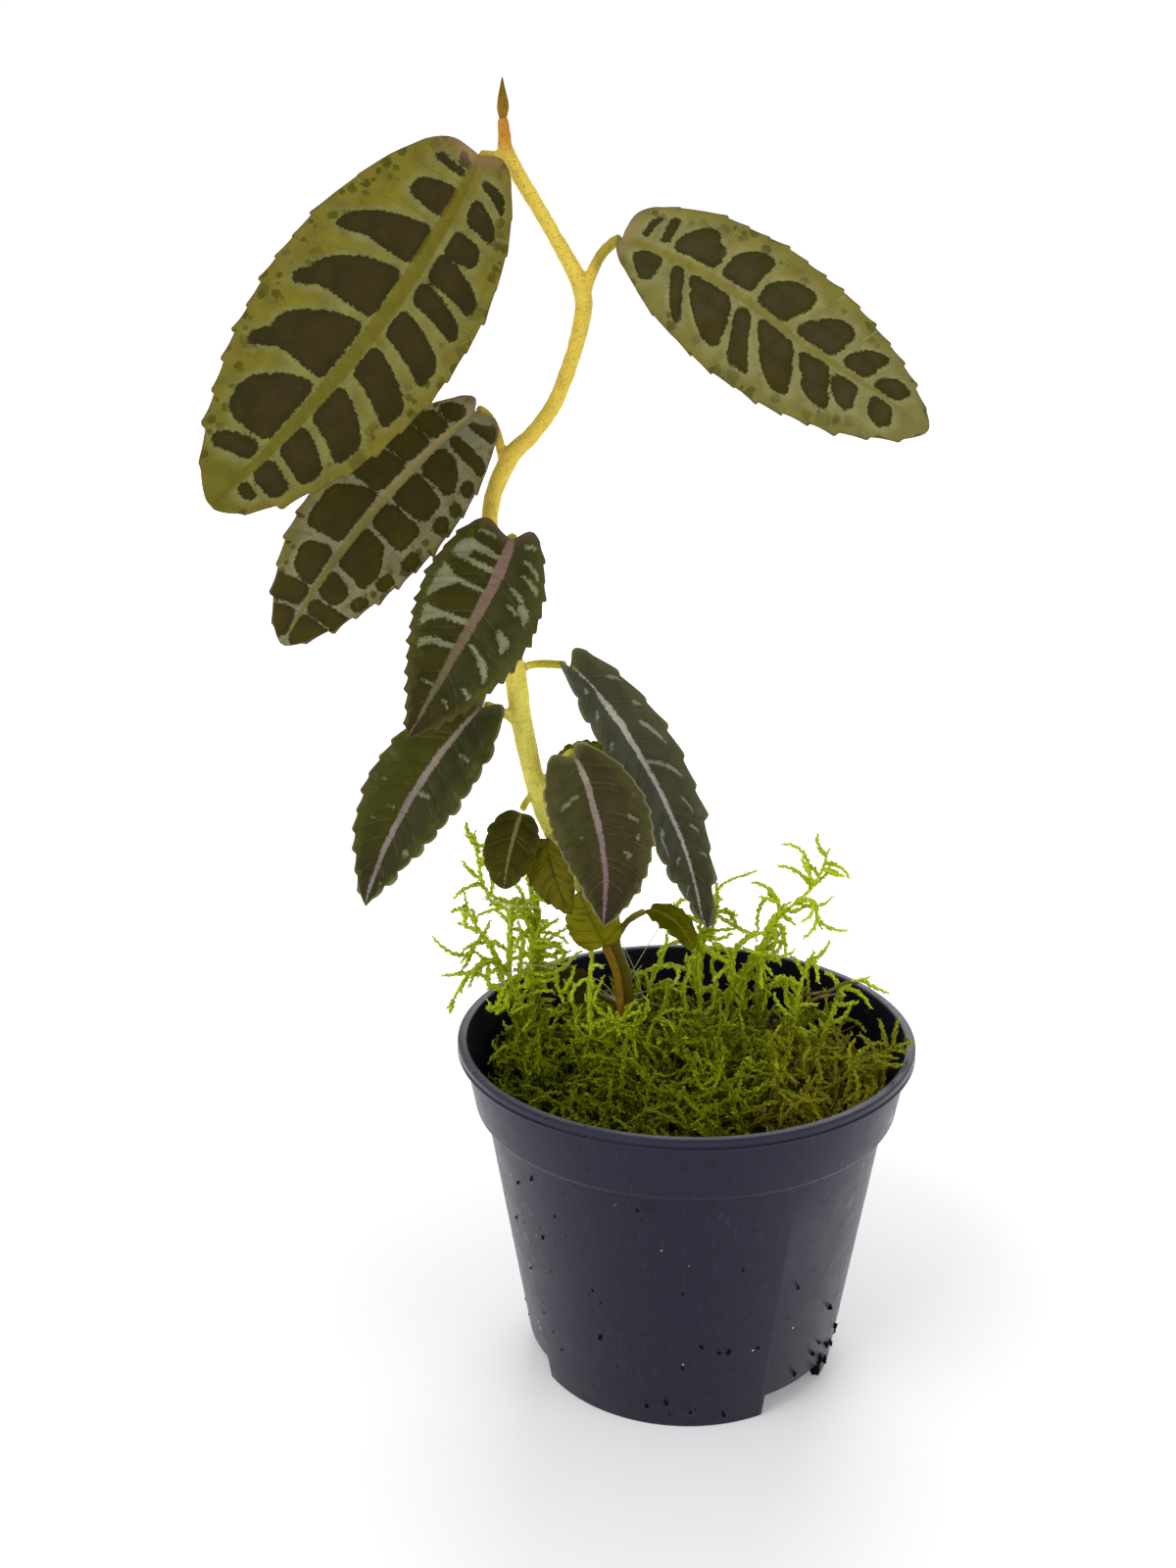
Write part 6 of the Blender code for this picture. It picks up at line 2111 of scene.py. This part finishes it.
RIGHT_LEADERS = (
    ((7.6, 20, 56), (9.8, 15, 72), (14.9, 10, 82.3), (16.9, 9, 88), (21.6, 8, 93.3), (25.3, 7, 97.8),
     (27.5, 6, 105)),
    ((24.9, 7, 97.3), (22.4, 7, 103)),
    ((26.4, 6.5, 101), (30.5, 6, 99.6)),
    ((21.6, 8, 93.3), (24.8, 8, 93.6), (26.7, 8, 88.0)),
    ((18.4, 8.6, 89.8), (18.2, 8, 93), (14.4, 8, 94.4)),
    ((3.2, 18, 56), (3.1, 13, 77), (4.2, 11, 87), (6.6, 10, 95.5), (13.9, 9, 99.5)),
    ((3.8, 11.5, 84.5), (5.5, 10, 90), (10.0, 9, 90)),
    ((21.7, 16, 55), (22.4, 11, 68), (23.1, 9, 75), (25.5, 8, 83)),
    ((26.0, 17, 55), (28.9, 12, 64), (31.8, 11, 73.8), (36.8, 11, 76.2)),
)
LITTER_LEADERS = (
    ((32.0, -8, 55), (35.5, -9, 64), (37.8, -9.2, 69.0), (40.8, -9.8, 71.4), (43.4, -10.0, 71.8)),
    ((30.5, 3, 55), (34.5, 0, 65), (38.2, -2, 64.0)),
)
LEFT_STRANDS = (
    ((549, 1010, 13), (548, 992, 12.5), (547, 966, 11.5), (544, 947, 11), (537, 924, 10), (530, 907, 9.5),
     (526, 903, 9)),
    ((552, 1008, 13.6), (551, 990, 13), (550, 965, 12), (547, 946, 11), (541, 930, 10)),
    ((546, 1010, 12), (545, 990, 11.6), (543, 966, 11), (541, 948, 10), (533, 925, 9.4)),
    ((520, 978, 9), (521, 947, 9), (519, 930, 8.5), (507, 923, 8), (496, 916, 8)),
    ((547, 950, 10), (549, 930, 10), (544, 913, 9.5), (537, 895, 9)),
    ((551, 967, 11), (555, 965, 11), (566, 965, 10.5), (575, 970, 10), (573, 980, 10)),
    ((524, 989, 10), (547, 994, 9), (563, 993, 8.5), (577, 985, 8), (589, 973, 8), (594, 970, 8)),
    ((538, 1007, 8), (552, 1001, 8), (566, 999, 8), (569, 989, 8)),
    ((568, 993, 8), (569, 1006, 7), (575, 1022, 5)),
    ((582, 1022, 4), (586, 1008, 4.5), (594, 1001, 5), (603, 997, 5)),
    ((603, 1062, 0), (603, 1050, 1), (601, 1020, 3), (602, 998, 4), (604, 978, 4.4), (603, 966, 4.6)),
    ((602, 990, 1), (605, 985, 1), (615, 986, 0.5), (621, 992, 0.5), (630, 998, 0.5)),
    ((510, 1006, 8), (500, 1006, 7.5), (498, 992, 7.5), (499, 983, 7.5)),
    ((517, 1010, 8), (516, 1027, 6), (507, 1032, 5.5), (500, 1029, 5.5), (499, 1022, 6)),
    ((512, 1000, 9), (505, 975, 8.5), (500, 962, 8), (490, 950, 8)),
    ((530, 1000, 10), (532, 975, 10), (534, 958, 9.6), (528, 940, 9)),
)
LEFT_SURFACE = (
    ((516, 1006, 74), (521, 1030, 68), (530, 1052, 65), (546, 1066, 64), (550, 1084, 62)),
    ((559, 1032, 69), (551, 1045, 67), (549, 1061, 65), (549, 1086, 63), (550, 1100, 61)),
)
RIGHT_STRANDS = (
    ((740, 1016, 13), (751, 1001, 12), (765, 984, 11), (776, 967, 10), (784, 953, 9), (791, 938, 8.4),
     (804, 925, 7.8)),
    ((746, 1018, 13), (756, 1000, 12), (769, 983, 11), (780, 966, 10), (787, 950, 9.3), (796, 936, 8.8)),
    ((791, 942, 9), (797, 946, 9), (800, 957, 9), (794, 969, 9), (784, 980, 9)),
    ((788, 940, 9.4), (792, 957, 9.4), (788, 972, 9.4)),
    ((746, 976, 11), (757, 963, 10.5), (769, 954, 10), (772, 959, 10)),
    ((765, 992, 11), (774, 1001, 11), (782, 1011, 11), (779, 1028, 11)),
    ((772, 965, 10), (778, 982, 10), (788, 994, 10)),
    ((695, 950, 9), (704, 953, 9), (713, 956, 9), (726, 958, 8.5), (736, 958, 8), (746, 953, 8)),
    ((710, 1009, 11), (708, 995, 11), (708, 977, 10.6), (712, 959, 10), (718, 949, 10), (725, 936, 9.5),
     (731, 930, 9),
     (739, 928, 9), (750, 932, 8.5)),
    ((714, 1012, 11.6), (712, 995, 11.6), (713, 975, 11), (716, 960, 10.6), (721, 948, 10.4)),
    ((689, 936, 9), (689, 931, 9), (691, 922, 9), (699, 917, 9)),
    ((712, 941, 9), (708, 937, 9), (698, 934, 9), (689, 936, 9)),
    ((662, 1009, 11), (668, 992, 11), (674, 979, 10.5), (679, 967, 10.5), (681, 951, 10)),
    ((649, 995, 11), (662, 990, 10.5), (672, 985, 10), (688, 987, 10), (699, 988, 10)),
    ((661, 1015, 9), (668, 1009, 9), (679, 1006, 9), (689, 1009, 9), (695, 1014, 9)),
    ((714, 962, 9), (723, 969, 9), (736, 977, 9), (745, 985, 9), (744, 995, 9)),
    ((727, 962, 9), (741, 969, 9), (746, 982, 9), (751, 995, 9)),
    ((747, 1000, 9), (747, 979, 9), (751, 967, 9), (759, 959, 9), (766, 953, 8.5)),
    ((728, 1020, 12), (730, 1000, 12), (726, 985, 12), (733, 970, 11.5)),
    ((700, 1030, 10), (697, 1010, 10), (703, 990, 10), (700, 975, 10)),
    ((760, 1030, 12), (757, 1012, 12), (763, 998, 12), (759, 984, 12)),
)
CUSHION_STRANDS = (
    ((604, 1100, -4), (612, 1078, -3), (622, 1058, -2), (632, 1044, -1.5), (644, 1036, -1.5)),
    ((652, 1100, -4), (646, 1080, -3), (636, 1062, -2), (628, 1046, -1.5), (622, 1030, -1.5)),
    ((600, 1062, -2), (614, 1054, -2), (628, 1052, -2), (644, 1056, -2), (656, 1066, -3)),
    ((624, 1105, -4), (630, 1085, -3), (628, 1066, -2), (634, 1048, -1.5), (630, 1034, -1)),
    ((640, 1075, -3), (630, 1070, -2.5), (618, 1070, -3), (606, 1078, -4)),
    ((662, 1074, -2), (650, 1056, -1.5), (648, 1040, -1), (654, 1026, 0)),
)
CUSHION_SURFACE = (
    ((608, 1080, 66), (603, 1086, 65), (594, 1095, 64), (589, 1105, 63), (580, 1114, 62), (564, 1115, 61),
     (551, 1117, 61)),
    ((594, 1111, 62), (600, 1100, 64), (609, 1093, 65), (623, 1093, 65)),
    ((584, 1116, 61), (605, 1127, 62), (623, 1139, 62), (641, 1150, 62)),
    ((601, 1011, 70), (601, 1036, 68), (603, 1060, 66)),
    ((626, 1086, 63), (641, 1100, 63), (657, 1121, 62), (662, 1136, 62)),
    ((662, 1114, 64), (684, 1114, 65), (698, 1120, 65), (712, 1134, 64), (730, 1148, 63)),
    ((632, 1036, 65), (630, 1059, 64), (628, 1077, 63)),
    ((646, 1045, 66), (659, 1054, 66), (669, 1064, 66)),
    ((735, 1060, 68), (738, 1080, 67), (733, 1100, 66), (724, 1120, 65)),
    ((700, 1050, 67), (716, 1060, 67), (722, 1078, 66), (717, 1096, 65)),
    ((760, 1090, 67), (748, 1104, 66), (745, 1120, 65), (751, 1134, 64)),
    ((770, 1060, 68), (786, 1068, 68), (797, 1084, 67), (799, 1104, 65)),
    ((690, 1075, 65), (704, 1083, 66), (712, 1097, 65)),
    ((612, 1090, 64), (618, 1070, 66), (622, 1050, 69), (618, 1034, 72)),
    ((640, 1095, 64), (636, 1075, 66), (640, 1055, 69), (634, 1040, 71)),
    ((650, 1080, 65), (646, 1060, 68), (640, 1046, 70), (630, 1036, 72)),
    ((606, 1068, 67), (616, 1056, 70), (628, 1050, 71), (642, 1056, 70)),
    ((660, 1070, 66), (664, 1050, 69), (674, 1036, 71), (686, 1030, 72)),
    ((590, 1060, 67), (588, 1042, 69), (592, 1028, 71)),
)
LITTER_SURFACE = (
    ((862, 1097, 68), (874, 1087, 70), (889, 1078, 71), (904, 1078, 71), (914, 1080, 70)),
    ((790, 1110, 66), (806, 1116, 66), (826, 1124, 66), (846, 1120, 67)),
    ((840, 1060, 70), (834, 1080, 69), (838, 1100, 68), (830, 1120, 66)),
    ((800, 1040, 70), (806, 1060, 69), (802, 1084, 68), (796, 1104, 67)),
)
CLUMPS = (
    Clump("moss_spray_left", (-30.5, 12.5), (5.0, 5.0), 8.0, LEFT_LEADERS, 70, (12, 26), (-0.1, -0.1, 1.0),
          0.5, tones=(0.4, 0.95), leader_tone=0.92, side_every=2.2, strands=LEFT_STRANDS,
          surface=LEFT_SURFACE),
    Clump("moss_spray_right", (15.0, 19.0), (14.0, 6.0), 8.0, RIGHT_LEADERS, 85, (10, 24), (0.1, -0.1, 1.0),
          0.6, tones=(0.35, 0.9), leader_tone=0.9, side_every=2.6, strands=RIGHT_STRANDS),
    Clump("moss_cushion", (-6.0, -9.0), (27.0, 24.0), 14.0, (), 560, (9, 17), (0.0, -0.1, 0.95), 0.9,
          tones=(0.28, 0.70), leader_tone=0.8, leader_thick=0.36, painted_shade_and_dryness=1.0, strands=CUSHION_STRANDS,
          surface=CUSHION_SURFACE),
    Clump("moss_cushion_back", (-12.0, 26.0), (15.0, 8.0), 10.0, (), 160, (9, 17), (0.0, -0.2, 0.9), 0.9,
          tones=(0.3, 0.72), painted_shade_and_dryness=0.6),
    Clump("moss_litter", (25.0, -6.0), (11.5, 20.0), 9.0, LITTER_LEADERS, 260, (8, 16), (0.1, 0.0, 0.6),
          1.0, 0.5, (0.32, 0.75), 0.7, leader_thick=0.34, painted_shade_and_dryness=0.5, surface=LITTER_SURFACE),
)


def tree_of(pieces: Sequence[bpy.types.Object]) -> BVHTree:
    """Makes a search tree of the surfaces of several pieces.

    Args:
        pieces: The pieces.

    Returns:
        The tree.
    """
    bm = bmesh.new()
    for piece in pieces:
        bm.from_mesh(piece.data)
    tree = BVHTree.FromBMesh(bm)
    bm.free()
    return tree


class Dresser:
    """Gives pieces their finish, and ties them to the CAD frame."""

    def __init__(self) -> None:
        """Starts with no materials."""
        self.effects = EffectShelf()
        self.materials: dict[str, bpy.types.Material] = {}

    def dress(self, piece: bpy.types.Object, finish: str, *nodes: str) -> bpy.types.Object:
        """Finishes a piece and lets it ride on the pot.

        Args:
            piece: The piece.
            finish: The name of its finish.
            nodes: The CAD nodes that it stands for.

        Returns:
            The same piece.
        """
        if finish not in self.materials:
            self.materials[finish] = FINISHES[finish].material(self.effects)
        piece.data.materials.clear()
        piece.data.materials.append(self.materials[finish])
        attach(piece, "root")
        if nodes:
            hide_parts(*nodes)
        triangles = len(piece.data.loops) - 2 * len(piece.data.polygons)
        LOG.info("%s: %d points, %d triangles", piece.name, len(piece.data.vertices), triangles)
        return piece


def corners(box: Sequence[Vector]) -> list[list[float]]:
    """Turns a box into plain lists."""
    return [list(map(float, corner)) for corner in box]


def main() -> None:
    """Builds and dresses every piece."""
    logging.basicConfig(level=logging.INFO, format="%(message)s", stream=sys.stdout)
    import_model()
    dresser = Dresser()
    pot = NurseryPot()
    mix = PottingMix(pot)
    shell = dresser.dress(pot.build(), "pot", "pot")
    dresser.dress(pot.crumbs(), "crumbs")
    dresser.dress(mix.build(), "mix", "potting_mix")
    shoot = Shoot()
    plant = [dresser.dress(shoot.build_stem(BLADES), "stem", "stem")]
    plant.append(dresser.dress(shoot.build_basal(BLADES), "old_petiole", "basal_petiole"))
    plant.append(dresser.dress(shoot.build_bud(), "bud", "end_bud"))
    for blade in BLADES:
        plant.append(dresser.dress(blade.build(), blade.finish, blade.name))
    studio = Studio()
    bed = MossBed(pot, mix, [tree_of(plant)], [tree_of([shell])], studio)
    for seed, clump in enumerate(CLUMPS):
        finish = "moss_litter" if clump.dry else "moss"
        dresser.dress(bed.build(clump, 40 + seed), finish, clump.node)
    litter = Litter(bed)
    dresser.dress(litter.build(), "litter")
    dresser.dress(litter.build_threads(), "thread")
    studio.build()


if __name__ == "__main__":
    main()
